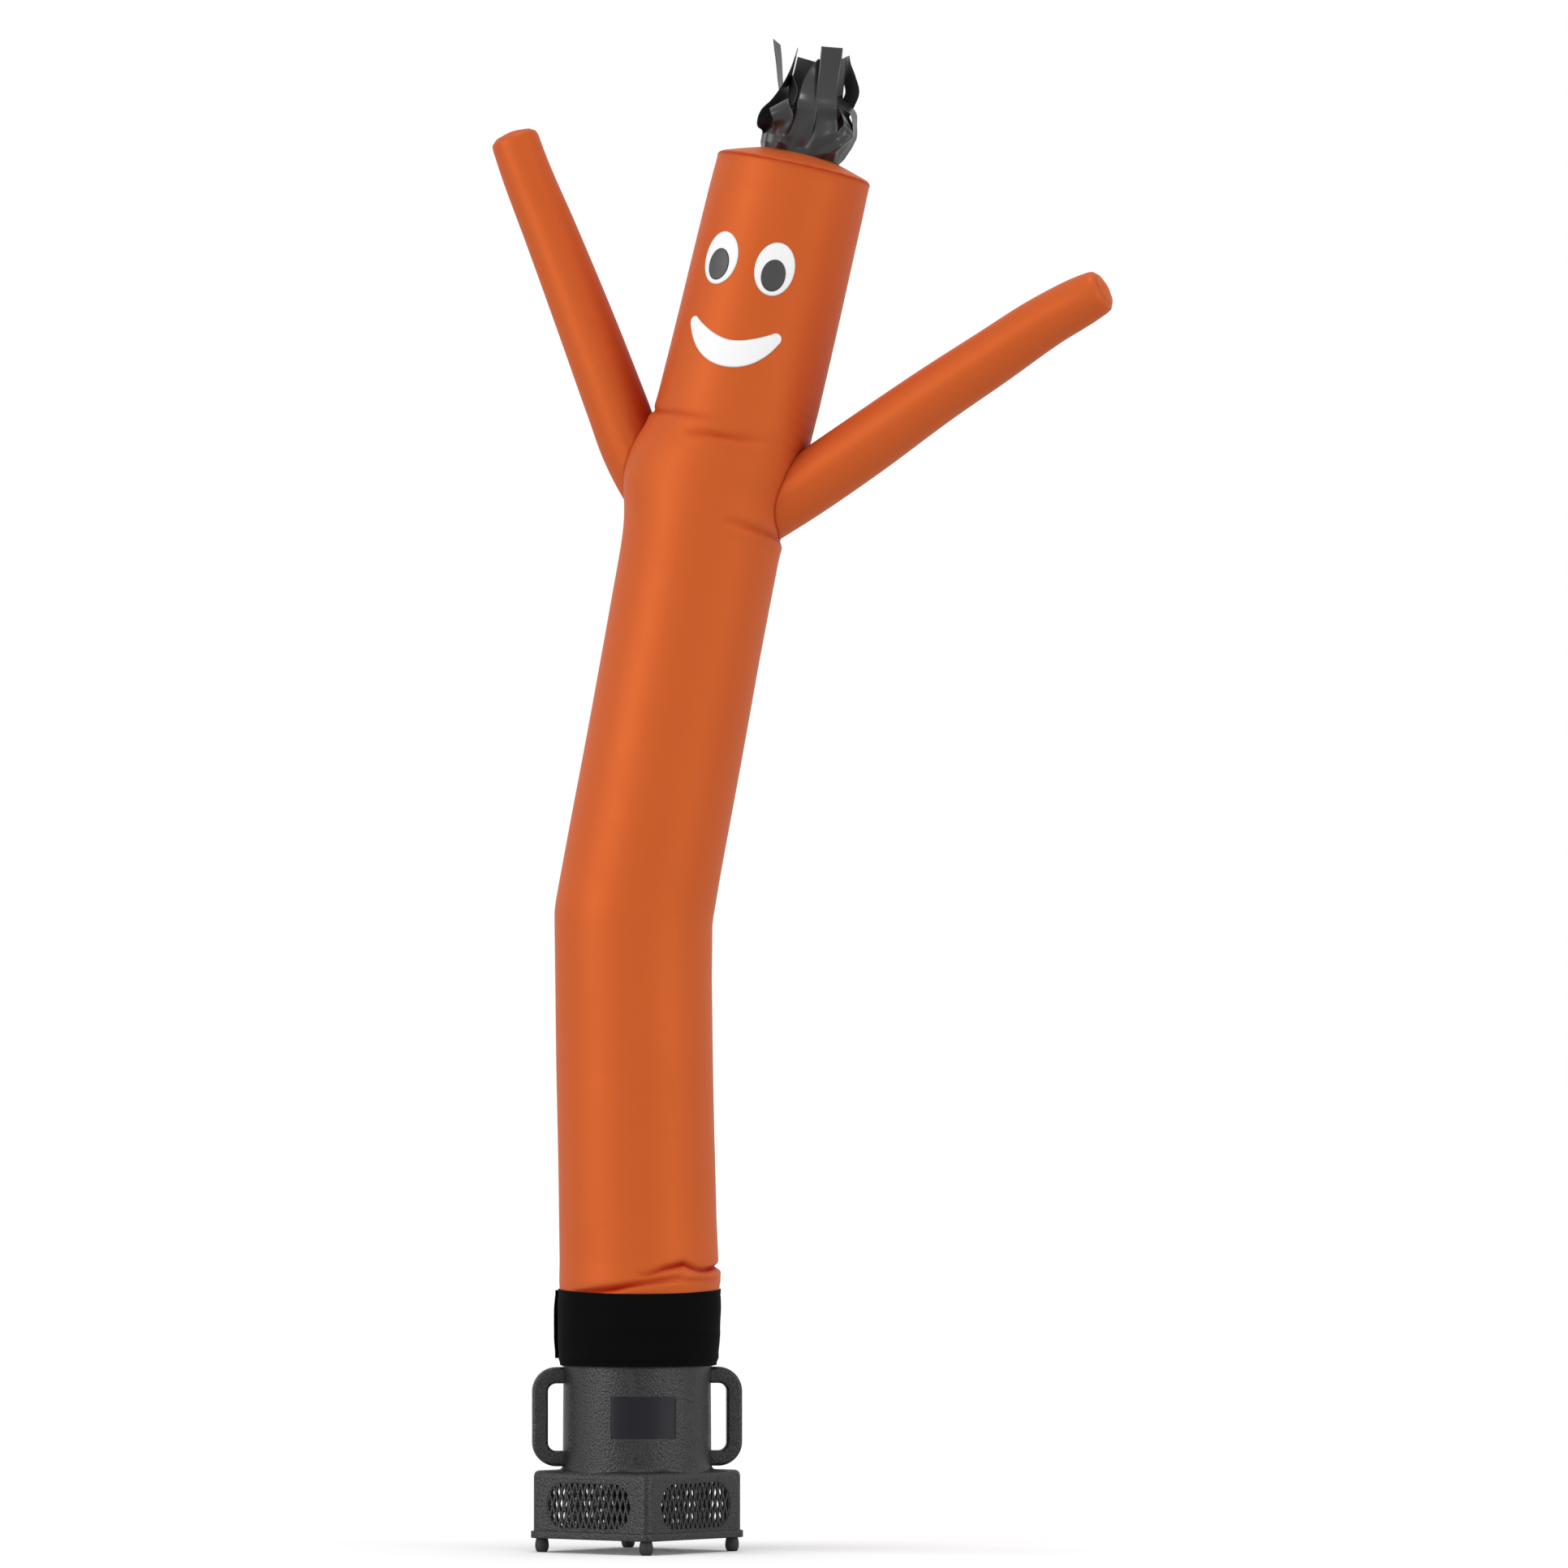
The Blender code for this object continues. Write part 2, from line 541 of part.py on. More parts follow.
def make_cuff():
    """The sleeve, hemmed in over the collar, and its overlapping closing flap."""
    angles = np.arange(SIDES) * 360.0 / SIDES
    rings = [around(angles, radius, height) + [offset, 0.0, 0.0]
             for height, radius, offset in CUFF_PROFILE]
    cuff = skin("cuff", rings, SLEEVE)
    thicken(cuff, CUFF_CLOTH)
    heights, radii, offsets = np.array(CUFF_PROFILE).T
    flap_angles = np.linspace(FLAP_SEWN_ANGLE, FLAP_FREE_ANGLE, FLAP_COLUMNS + 1)
    lift = FLAP_STANDOFF * np.linspace(0.0, 1.0, FLAP_COLUMNS + 1) ** 3
    rows = []
    for height, share in FLAP_ROWS:
        seat = np.interp(height, heights, radii) + FLAP_SEAT + lift * share
        rows.append(around(flap_angles, seat, height) + [np.interp(height, heights, offsets), 0.0, 0.0])
    thicken(skin("cuff_flap", rows, SLEEVE, wrap=False), CLOTH, outwards=True)


def tube_column(height, column):
    """One column of the body tube's table, at any height."""
    table = np.array(TUBE)
    return np.interp(height, table[:, 0], table[:, column])


def smooth_window(value, start, end, fade):
    """One between start and end, easing to nothing over the fade beyond each."""
    rise = np.clip((value - start) / fade + 1, 0, 1)
    fall = np.clip((end - value) / fade + 1, 0, 1)
    share = np.minimum(rise, fall)
    return share * share * (3 - 2 * share)


def tube_radius(angles, height):
    """The table's radius, less the troughs and plus the swellings."""
    turn = (np.asarray(angles, float) + 180.0) % 360.0 - 180.0
    radius = np.full(turn.shape, float(tube_column(height, 3)))
    for start, low, end, high, depth, width in CREASES:
        line = np.interp(turn, [start, end], [low, high])
        inside = smooth_window(turn, start, end, CREASE_FADE)
        radius -= depth * inside * np.exp(-((height - line) / width) ** 2)
    for middle, level, amount, spread, reach in SWELLINGS:
        off = (turn - middle + 180.0) % 360.0 - 180.0
        radius += amount * np.exp(-(off / spread) ** 2 - ((height - level) / reach) ** 2)
    return radius


def tube_ring(angles, height, lift=0.0):
    """Points of one leaning ring of the tube."""
    turn = np.radians(angles)
    lean = math.radians(tube_column(height, 2))
    radius = tube_radius(angles, height) + lift
    along = radius * np.sin(turn)
    return np.stack([tube_column(height, 1) + along * math.cos(lean),
                     -radius * np.cos(turn),
                     height - along * math.sin(lean)], -1)


def tube_levels(low, high):
    levels = sorted({row[0] for row in TUBE} | set(TUBE_LEVELS))
    return [level for level in levels if low <= level <= high]


def tube_rings(low, high, lift=0.0):
    angles = np.arange(TUBE_SIDES) * 360.0 / TUBE_SIDES
    return [tube_ring(angles, level, lift) for level in tube_levels(low, high)]


def smooth_rows(table, count):
    """Evenly spaced rows on a smooth curve through a table's rows."""
    table = np.array(table)
    steps = np.linalg.norm(np.diff(table[:, :2], axis=0), axis=1)
    at = np.concatenate([[0.0], np.cumsum(steps)])
    slope = np.gradient(table, at, axis=0)
    where = np.linspace(0.0, at[-1], count)
    cell = np.clip(np.searchsorted(at, where, side="right") - 1, 0, len(at) - 2)
    width = (at[cell + 1] - at[cell])[:, None]
    share = ((where - at[cell]) / width[:, 0])[:, None]
    return ((2 * share**3 - 3 * share**2 + 1) * table[cell]
            + (share**3 - 2 * share**2 + share) * width * slope[cell]
            + (3 * share**2 - 2 * share**3) * table[cell + 1]
            + (share**3 - share**2) * width * slope[cell + 1])


def arm_path(table):
    """Ring centres, directions and radii of an arm, in the figure's own turned plane."""
    rows = smooth_rows(table, ARM_RINGS)
    turn = math.radians(ARM_TURN)
    outwards = np.array([math.cos(turn), math.sin(turn), 0.0])
    centres = (np.array([SHOULDER_X, 0.0, 0.0]) + rows[:, :1] * outwards
               + rows[:, 1:2] * np.array([0.0, 0.0, 1.0]))
    directions = np.gradient(centres, axis=0)
    directions /= np.linalg.norm(directions, axis=1)[:, None]
    across = np.cross(outwards, [0.0, 0.0, 1.0])
    return centres, directions, across, rows[:, 2]


def arm_rings(table, shrink=0.0):
    centres, directions, across, radii = arm_path(table)
    turn = np.radians(np.arange(ARM_SIDES) * 360.0 / ARM_SIDES)
    rings = []
    for centre, direction, radius in zip(centres, directions, radii):
        other = np.cross(direction, across)
        ring = np.cos(turn)[:, None] * across + np.sin(turn)[:, None] * other
        rings.append(centre + (radius - shrink) * ring)
    return rings


def domed_disc(name, shape, rim_radius, centre, direction, steps, material):
    """A sewn disc that the air domes, set on the end of a tube."""
    profile = [(share * rim_radius, height) for share, height in shape]
    disc = turned(name, profile, steps, material)
    thicken(disc, CLOTH)
    flat = math.hypot(direction[0], direction[1])
    disc.rotation_euler = (0.0, math.atan2(flat, direction[2]), math.atan2(direction[1], direction[0]))
    disc.location = (np.asarray(centre) + np.asarray(direction) * FIT).tolist()


def make_cloth_figure():
    """The body tube with its armholes, both arms cut to meet it, and the three end discs."""
    bottom, top = TUBE[0][0], TUBE[-1][0]
    tube = skin("body_tube", tube_rings(bottom, top), ORANGE)
    thicken(tube, CLOTH)
    torso = skin("torso_space", tube_rings(*TORSO, FIT), ORANGE, caps=True, cutter=True)
    for name, table in (("arm_left", ARM_LEFT), ("arm_right", ARM_RIGHT)):
        arm = skin(name, arm_rings(table), ORANGE)
        thicken(arm, CLOTH)
        combine(arm, torso, "DIFFERENCE")
        hole = skin(name + "_hole", arm_rings(table, CLOTH)[:ARM_HOLE_RINGS], ORANGE, caps=True,
                    cutter=True)
        combine(tube, hole, "DIFFERENCE")
        centres, directions, _, radii = arm_path(table)
        domed_disc(name + "_cap", ARM_DISC, radii[-1], centres[-1], directions[-1], ARM_SIDES, ORANGE)
    centre, direction = head_top()
    domed_disc("top_cap", TOP_DISC, TUBE[-1][3], centre, direction, TUBE_SIDES, ORANGE)


def head_top():
    """Centre and direction of the tube's top edge."""
    height, offset, lean_degrees, _ = TUBE[-1]
    lean = math.radians(lean_degrees)
    return np.array([offset, 0.0, height]), np.array([math.sin(lean), 0.0, math.cos(lean)])


def on_face(lift):
    """A surface for patches: arc from the face's middle and ring height, to a point."""
    def surface(arc_length, height):
        points = []
        for length, level in zip(arc_length, np.broadcast_to(height, np.shape(arc_length))):
            angle = FACE_ANGLE + math.degrees(length / tube_column(level, 3))
            points.append(tube_ring(np.array([angle]), float(level), lift)[0])
        return np.array(points)
    return surface


def oval(name, middle_arc, height, width, length, lift, material):
    surface = on_face(lift)

    def edge(sign):
        return lambda across: height + sign * length / 2 * np.sqrt(np.maximum(1 - across**2, 0))

    wrapped_patch(name, width / 2, edge(1), edge(-1),
                  lambda arc_length, level: surface(middle_arc + arc_length, level),
                  PATCH, material, PATCH_COLUMNS)


def make_face():
    """Two eyes, two pupils that look down a little, and a wide smile."""
    for side, arc_length in (("left", -EYE_ARC), ("right", EYE_ARC)):
        oval("eye_" + side, arc_length, EYE_HEIGHT, EYE_WIDTH, EYE_LENGTH, PATCH_LIFT, WHITE)
        oval("pupil_" + side, arc_length, EYE_HEIGHT - PUPIL_DROP, PUPIL_WIDTH, PUPIL_LENGTH,
             PATCH_LIFT + PATCH + FIT, GREY)

    step = np.linspace(-1.0, 1.0, 161)
    brush = SMILE_TIP + (SMILE_THICKNESS / 2 - SMILE_TIP) * (1 - step**2)
    along, height = (SMILE_WIDTH / 2 - SMILE_TIP) * step, SMILE_MIDDLE + SMILE_RISE * step**2

    def smile_edge(sign):
        """The edge that a round brush leaves, thick in the middle of its curve."""
        def edge(across):
            off = SMILE_WIDTH / 2 * np.asarray(across)[:, None] - along
            touched = np.abs(off) <= brush + 1e-9
            reach = np.sqrt(np.maximum(brush**2 - off**2, 0.0))
            return sign * np.where(touched, sign * height + reach, -np.inf).max(axis=1)
        return edge

    wrapped_patch("mouth", SMILE_WIDTH / 2, smile_edge(1), smile_edge(-1), on_face(PATCH_LIFT),
                  PATCH, WHITE, SMILE_COLUMNS)


def hair_points():
    """Band rings and strip rows over the top disc, each as radius, angle, height and shift."""
    reach = 360.0 / len(HAIR_STRIPS) - HAIR_SLIT
    band_angles = np.array([row[0] + side * reach / 2 for row in HAIR_STRIPS for side in (-1, 1)])
    band = []
    for height, radius in HAIR_BAND:
        ripple = HAIR_RIPPLE * height / HAIR_BAND[-1][0] * np.sin(np.radians(HAIR_RIPPLES * band_angles))
        band.append(around(band_angles, radius + ripple, HAIR_SEAT + height))
    root = HAIR_SEAT + HAIR_BAND[-1][0]
    root_width = 2 * HAIR_BAND[-1][1] * math.sin(math.radians(reach / 2))
    strips = []
    for angle, width, tip, middle_radius, tip_radius, shift in HAIR_STRIPS:
        turn = math.radians(angle)
        out = np.array([math.sin(turn), -math.cos(turn), 0.0])
        along = np.array([math.cos(turn), math.sin(turn), 0.0])
        rows = []
        for share in np.linspace(0.0, 1.0, STRIP_ROWS + 1)[1:]:
            radius = np.interp(share, [0.0, 0.5, 1.0], [HAIR_BAND[-1][1], middle_radius, tip_radius])
            centre = out * radius + along * shift * share**2
            centre[2] = root + (HAIR_SEAT + tip - root) * share
            half = np.interp(share, [0.0, 0.4], [root_width, width]) / 2
            rows.append([centre - along * half, centre + along * half])
        strips.append(rows)
    return np.array(band), np.array(strips)


def make_hair():
    """One gathered band, slit into strips above, sewn to the top disc."""
    band, strips = hair_points()
    columns = band.shape[1]
    points = band.reshape(-1, 3).tolist()
    faces = []
    for row in range(len(band) - 1):
        low, high = row * columns, (row + 1) * columns
        faces += [(low + i, low + (i + 1) % columns, high + (i + 1) % columns, high + i)
                  for i in range(columns)]
    for number, rows in enumerate(strips):
        left = (len(band) - 1) * columns + 2 * number
        right = left + 1
        for pair in rows.tolist():
            points += pair
            faces.append((left, right, len(points) - 1, len(points) - 2))
            left, right = len(points) - 2, len(points) - 1
    mesh = bpy.data.meshes.new("hair")
    mesh.from_pydata(points, [], faces)
    round_shading(mesh)
    hair = place("hair", mesh, HAIR_BLACK)
    thicken(hair, HAIR_CLOTH)
    centre, direction = head_top()
    hair.location = centre.tolist()
    hair.rotation_euler.y = math.atan2(direction[0], direction[2])


make_tray_and_feet()
make_housing()
make_grilles()
make_handles()
make_hook_band()
make_plate()
make_cuff()
make_cloth_figure()
make_face()
make_hair()
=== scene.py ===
# %% [markdown]
# # A sewn air dancer on its floor blower
# The real thing is a tall tube of thin nylon that a blower keeps full of moving air. This lesson dresses
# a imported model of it: each plain solid gets a finer surface and a finish that looks like its material.
# We load that model first, because every new piece is measured from it and rides on it.

# %% The frame
import math

import bmesh
import bpy
import numpy as np
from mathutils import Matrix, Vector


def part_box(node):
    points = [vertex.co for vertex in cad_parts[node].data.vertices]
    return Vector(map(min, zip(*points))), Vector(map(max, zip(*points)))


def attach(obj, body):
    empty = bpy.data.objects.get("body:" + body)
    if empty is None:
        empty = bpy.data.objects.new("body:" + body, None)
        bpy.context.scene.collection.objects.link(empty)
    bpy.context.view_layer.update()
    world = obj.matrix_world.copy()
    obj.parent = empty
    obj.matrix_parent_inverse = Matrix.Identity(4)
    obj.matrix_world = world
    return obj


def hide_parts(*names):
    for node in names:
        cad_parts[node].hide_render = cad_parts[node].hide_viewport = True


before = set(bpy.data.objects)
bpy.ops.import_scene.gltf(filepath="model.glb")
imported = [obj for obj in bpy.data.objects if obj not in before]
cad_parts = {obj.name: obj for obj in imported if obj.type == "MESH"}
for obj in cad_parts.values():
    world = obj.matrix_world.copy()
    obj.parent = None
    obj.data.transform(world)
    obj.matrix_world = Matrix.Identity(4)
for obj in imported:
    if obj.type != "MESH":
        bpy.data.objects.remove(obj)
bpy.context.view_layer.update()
print("solids in the frame:", len(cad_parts))

# %% [markdown]
# Nearly everything stands round one upright line, the blower's axis. The hook band is a plain ring on it,
# so the middle of that ring's box is the axis. Angles below are in degrees, start at the blower's front
# and turn to the right as seen from the front.

# %% The blower's axis
band_low, band_high = (np.array(corner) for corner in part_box("hook_band"))
AXIS = np.append((band_low[:2] + band_high[:2]) / 2, 0.0)


def around(angle, radius, height):
    """Points on rings about the axis: x = radius sin(angle), y = -radius cos(angle), z = height."""
    turn = np.radians(angle)
    return AXIS + np.stack(np.broadcast_arrays(radius * np.sin(turn), -radius * np.cos(turn), height), -1)


print("axis at", np.round(AXIS, 4).tolist())

# %% [markdown]
# Every new surface is a grid of points: rows go up or outwards, columns go along or around. One function
# turns such a grid into a mesh of quads. Its UV map holds real distances in metres, so that a weave can
# follow the cloth. Numbers that belong to the points, such as how deep a fold is, go in as attributes.

# %% From a grid of points to a mesh
MERGE = 1e-6


def grid_mesh(name, points, ring=False, keep=None, **attributes):
    """Quads over points[..., row, column, xyz]: each joins a point to the next column and the next row.

    With ring, the last column joins the first. keep masks quads, and attributes hold a number a point.
    """
    points = np.asarray(points, float)
    rows, columns = points.shape[-3:-1]
    sheets = points.reshape(-1, rows, columns, 3)
    laid = np.concatenate([sheets, sheets[:, :, :1]], 2) if ring else sheets
    along = np.linalg.norm(np.diff(laid, axis=2, prepend=laid[:, :, :1]), axis=-1).cumsum(axis=2)
    up = np.linalg.norm(np.diff(laid, axis=1, prepend=laid[:, :1]), axis=-1).cumsum(axis=1)
    sheet, row, column = np.meshgrid(*(np.arange(n) for n in (len(sheets), rows - 1, laid.shape[2] - 1)),
                                     indexing="ij")
    sheet = np.stack([sheet] * 4, -1)
    row = np.stack([row, row, row + 1, row + 1], -1)
    column = np.stack([column, column + 1, column + 1, column], -1)
    if keep is not None:
        kept = np.asarray(keep).reshape(row.shape[:3])
        sheet, row, column = sheet[kept], row[kept], column[kept]
    faces = ((sheet * rows + row) * columns + column % columns).reshape(-1, 4)
    mesh = bpy.data.meshes.new(name)
    mesh.from_pydata(points.reshape(-1, 3).tolist(), [], faces.tolist())
    laid_uv = np.stack([along[sheet, row, column], up[sheet, row, column]], -1)
    mesh.uv_layers.new(name="cloth").data.foreach_set("uv", laid_uv.ravel())
    for key, values in attributes.items():
        spread = np.broadcast_to(values, points.shape[:-1]).astype(np.float32)
        mesh.attributes.new(key, "FLOAT", "POINT").data.foreach_set("value", spread.ravel())
    tidy = bmesh.new()
    tidy.from_mesh(mesh)
    bmesh.ops.remove_doubles(tidy, verts=tidy.verts, dist=MERGE)
    bmesh.ops.delete(tidy, geom=[v for v in tidy.verts if not v.link_faces], context="VERTS")
    tidy.to_mesh(mesh)
    tidy.free()
    mesh.shade_smooth()
    return mesh


def in_scene(name, data):
    """A new object in the scene that shows this mesh, lamp or camera."""
    made = bpy.data.objects.new(name, data)
    bpy.context.scene.collection.objects.link(made)
    return made


def thicken(piece, wall):
    """Give a surface a wall on its inner side."""
    solidify = piece.modifiers.new("Cloth or wall", "SOLIDIFY")
    solidify.thickness = wall
    solidify.offset = -1.0
    solidify.use_even_offset = True


def make_piece(name, mesh, material, slot, *nodes, wall=0.0):
    """Put a mesh in the scene in place of CAD nodes. A wall goes on its inner side."""
    piece = in_scene(name, mesh)
    mesh.materials.clear()
    mesh.materials.append(material)
    if wall:
        thicken(piece, wall)
    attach(piece, "root")
    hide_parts(*nodes)
    print(f"{name}: {len(mesh.vertices)} points, {len(mesh.polygons)} faces")
    return piece


print("points closer than", MERGE, "m are merged")

# %% [markdown]
# ## Light, floor and camera
# The picture is a studio shot with a very long lens: upright lines stay upright and nothing shrinks with
# distance. So the camera stands thirty metres away, six degrees to the left of the blower's front. Most of
# the light is an even white sky. Two low suns with wide discs act as tall soft boxes beside the figure: a
# key from the left and a weaker fill from the right, whose reflections are the two stripes on the tube. A
# weak lamp overhead draws the shadow under the blower's box.

# %% Camera
CAMERA_TURN, CAMERA_DISTANCE = -6.0, 30.0
CAMERA_HEIGHT, AIM_HEIGHT = 1.310, 1.588
CAMERA_SIDE, PICTURE_SPAN = 0.304, 3.2458   # right of the axis, and metres that the picture covers
SENSOR = 36.0

turn = math.radians(CAMERA_TURN)
to_right = np.array([math.cos(turn), math.sin(turn), 0.0])
to_camera = np.array([math.sin(turn), -math.cos(turn), 0.0])
camera = in_scene("camera", bpy.data.cameras.new("camera"))
camera.data.sensor_width = SENSOR
camera.data.lens = SENSOR * CAMERA_DISTANCE / PICTURE_SPAN
camera.data.clip_end = 200.0
camera.location = AXIS + to_right * CAMERA_SIDE + to_camera * CAMERA_DISTANCE + [0, 0, CAMERA_HEIGHT]
tilt = math.atan2(AIM_HEIGHT - CAMERA_HEIGHT, CAMERA_DISTANCE)
camera.rotation_euler = (math.radians(90.0) + tilt, 0.0, turn)
bpy.context.scene.camera = camera
print("lens:", round(camera.data.lens, 1), "mm")

# %% Node helpers
def linear(hex_colour):
    """An sRGB hex value as a linear colour: above a small toe, ((c + 0.055) / 1.055) to the power 2.4."""
    srgb = np.array([int(hex_colour[i:i + 2], 16) for i in (1, 3, 5)]) / 255.0
    toe = srgb / 12.92
    return (*np.where(srgb <= 0.04045, toe, ((srgb + 0.055) / 1.055) ** 2.4).tolist(), 1.0)


def add(tree, kind, inputs=None, **settings):
    """Add a shader node with its settings; each input is either linked to a socket or given a value."""
    made = tree.nodes.new("ShaderNode" + kind)
    for key, value in settings.items():
        setattr(made, key, value)
    for key, value in (inputs or {}).items():
        if isinstance(value, bpy.types.NodeSocket):
            tree.links.new(value, made.inputs[key])
        else:
            made.inputs[key].default_value = value
    return made


def start_material(name, sockets):
    """A Principled material with these values on the shader's own sockets."""
    material = bpy.data.materials.new(name)
    material.use_nodes = True
    shader = material.node_tree.nodes["Principled BSDF"]
    for key, value in sockets.items():
        shader.inputs[key].default_value = value
    return material, material.node_tree, shader


def wire(tree, shader, links):
    """Link each socket to the shader's input of that name."""
    for key, socket in links.items():
        tree.links.new(socket, shader.inputs[key])


print("middle grey as a linear colour:", round(linear("#808080")[0], 3))

# %% Light and floor
SUNS = [  # name, degrees to the right of the camera, degrees up, strength, disc in degrees
    ("key", -58.0, 5.0, 1.34, 38.0),
    ("fill", 54.0, 2.0, 1.05, 38.0),
    ("top", 0.0, 86.0, 0.55, 10.0),
]
SKY_LIGHT, FLOOR_SIDE = 0.83, 160.0
FLOOR_SEEN, FLOOR_BOUNCE = 0.98, 0.62   # a flag keeps most of the floor's glow off the figure

for name, right, up, strength, disc in SUNS:
    sun = in_scene(name + " light", bpy.data.lights.new(name + " light", "SUN"))
    sun.data.energy = strength
    sun.data.angle = math.radians(disc)
    sun.rotation_euler = (math.radians(90.0 - up), 0.0, turn + math.radians(right))


def seen_or_not(tree, seen, otherwise):
    """A number that is one value where the camera looks and another where light bounces."""
    ray = add(tree, "LightPath").outputs["Is Camera Ray"]
    return add(tree, "Math", {0: ray, 1: seen - otherwise, 2: otherwise},
               operation="MULTIPLY_ADD").outputs[0]


world = bpy.data.worlds.new("studio")
world.use_nodes = True
bpy.context.scene.world = world
backdrop = world.node_tree.nodes["Background"]
backdrop.inputs["Color"].default_value = linear("#FFFFFF")
world.node_tree.links.new(seen_or_not(world.node_tree, 1.0, SKY_LIGHT), backdrop.inputs["Strength"])
bpy.context.scene.view_settings.view_transform = "Standard"

half_floor = FLOOR_SIDE / 2
floor_points = np.stack(np.meshgrid([-half_floor, half_floor], [-half_floor, half_floor], [0.0]), -1)
floor_mesh = grid_mesh("floor", floor_points[:, :, 0])
floor_paint = bpy.data.materials.new("matt white studio floor")
floor_paint.use_nodes = True
floor_tree = floor_paint.node_tree
floor_tree.nodes.clear()
floor_tone = add(floor_tree, "CombineColor", {
    key: seen_or_not(floor_tree, FLOOR_SEEN, FLOOR_BOUNCE) for key in ("Red", "Green", "Blue")})
floor_matt = add(floor_tree, "BsdfDiffuse", {"Color": floor_tone.outputs[0]})
add(floor_tree, "OutputMaterial", {"Surface": floor_matt.outputs[0]})
floor_mesh.materials.append(floor_paint)
floor = in_scene("floor", floor_mesh)
print("lights:", [name for name, *_ in SUNS])

# %% [markdown]
# ## Finishes
# The tube is a satin nylon taffeta: filament yarns, flat and bright, in a plain weave, coated on the back
# so that it holds air. Light is reflected between the yarns, so the soft highlight is orange too and the
# edges stay orange: part of the reflection is that of a metal. The yarns lie about 0.2 mm apart, too fine
# to show, so the weave is drawn at 1.6 mm. Light that bounces inside a crease turns the orange into a deep
# red. That deep red and other shade are painted: an attribute of the mesh says how much shade is painted
# at each point, and there the cloth's colour is mixed towards a darker one and its highlight is taken away.

# %% Woven cloth
WEAVE_SPACING = 0.0016
WAVE_TURNS = 20.0               # the wave texture runs through this many radians a unit
CLOUDS, CRUMPLES = 2.2, 14.0    # how many to a metre, about
CLOTH_GLOSS = 0.05              # how far the roughness strays


def woven(name, colours, painted_shade_colour, sockets, roughness, weave_height, crumple=0.0006):
    """Plain-weave cloth: two tones in soft clouds, darkened by painted shade, with yarns and a faint
    crumple.
    """
    material, tree, shader = start_material(name, sockets)
    place = add(tree, "TexCoord").outputs
    clouds = add(tree, "TexNoise", {"Vector": place["Object"], "Scale": CLOUDS, "Detail": 3.0})
    tone = add(tree, "MixRGB", {"Fac": clouds.outputs["Fac"], "Color1": linear(colours[0]),
                                "Color2": linear(colours[1])})
    # how much shade is painted at each point, read from the mesh's attribute
    fold = add(tree, "Attribute", attribute_name="fold")
    shaded = add(tree, "MixRGB", {"Fac": fold.outputs["Fac"], "Color1": tone.outputs["Color"],
                                  "Color2": linear(painted_shade_colour)})
    scale = 2 * math.pi / (WAVE_TURNS * WEAVE_SPACING)
    yarns = [add(tree, "TexWave", {"Vector": place["UV"], "Scale": scale}, bands_direction=way)
             for way in ("X", "Y")]
    weave = add(tree, "Math", {0: yarns[0].outputs["Fac"], 1: yarns[1].outputs["Fac"]})
    soft = add(tree, "TexNoise", {"Vector": place["Object"], "Scale": CRUMPLES, "Detail": 3.0,
                                  "Distortion": 0.6})
    rough = add(tree, "MapRange", {"Value": soft.outputs["Fac"], "To Min": roughness - CLOTH_GLOSS,
                                   "To Max": roughness + CLOTH_GLOSS})
    crumpled = add(tree, "Bump", {"Height": soft.outputs["Fac"], "Distance": crumple, "Strength": 1.0})
    relief = add(tree, "Bump", {"Height": weave.outputs[0], "Distance": weave_height, "Strength": 0.6,
                                "Normal": crumpled.outputs[0]})
    for key in sorted({"Metallic", "Specular IOR Level"} & set(sockets)):   # painted shade takes the highlight away too
        faded = add(tree, "MapRange", {"Value": fold.outputs["Fac"], "To Max": 0.0, "To Min": sockets[key]})
        wire(tree, shader, {key: faded.outputs[0]})
    wire(tree, shader, {"Base Color": shaded.outputs["Color"], "Roughness": rough.outputs[0],
                        "Normal": relief.outputs[0]})
    return material


# The third colour of each cloth is the dark colour that its painted shade is mixed towards.
NYLON = woven("orange satin nylon taffeta", ("#CA5D2D", "#C4582A"), "#980402",
              {"Metallic": 0.18, "Specular IOR Level": 0.30, "Specular Tint": linear("#FFC468")},
              0.47, 0.00002)
WHITE_CLOTH = woven("white nylon taffeta", ("#F4F4F4", "#EDEDEE"), "#8E8E90",
                    {"Sheen Weight": 0.05, "Specular IOR Level": 0.5}, 0.5, 0.00003, crumple=0.0002)
PUPIL_CLOTH = woven("dark grey nylon taffeta", ("#2F2F30", "#38383A"), "#1A1A1A",
                    {"Sheen Weight": 0.1, "Specular IOR Level": 0.6}, 0.42, 0.00003, crumple=0.0002)
SATIN = woven("black polyester satin", ("#242425", "#2A2A2B"), "#060606",
              {"Specular IOR Level": 0.60}, 0.30, 0.00001, crumple=0.00004)
SLEEVE_CLOTH = woven("black brushed sleeve cloth", ("#060607", "#09090A"), "#030303",
                     {"Specular IOR Level": 0.05}, 0.80, 0.00010, crumple=0.0016)
print("woven finishes:", [m.name for m in (NYLON, WHITE_CLOTH, PUPIL_CLOTH, SATIN, SLEEVE_CLOTH)])

# %% [markdown]
# The blower is rotomoulded polyethylene. Its mould is etched with a leather grain, so the skin is a net of
# rounded pebbles about 2.5 mm across, each of which catches a point of light. They are drawn at 4 mm. A
# Voronoi texture makes the pebbles, and a little noise in its coordinates keeps their outlines uneven. Each
# pebble's top is painted lighter and its valleys darker: a painted highlight and painted shade.

# %% Grained plastic, rubber and film
GRAIN = 0.0040                  # one pebble, drawn coarser than the real 2.5 mm so that it shows
GRAIN_DEPTH = 0.0010
UNEVEN_GLOSS, HOOK_SPACING = 0.08, 0.0018


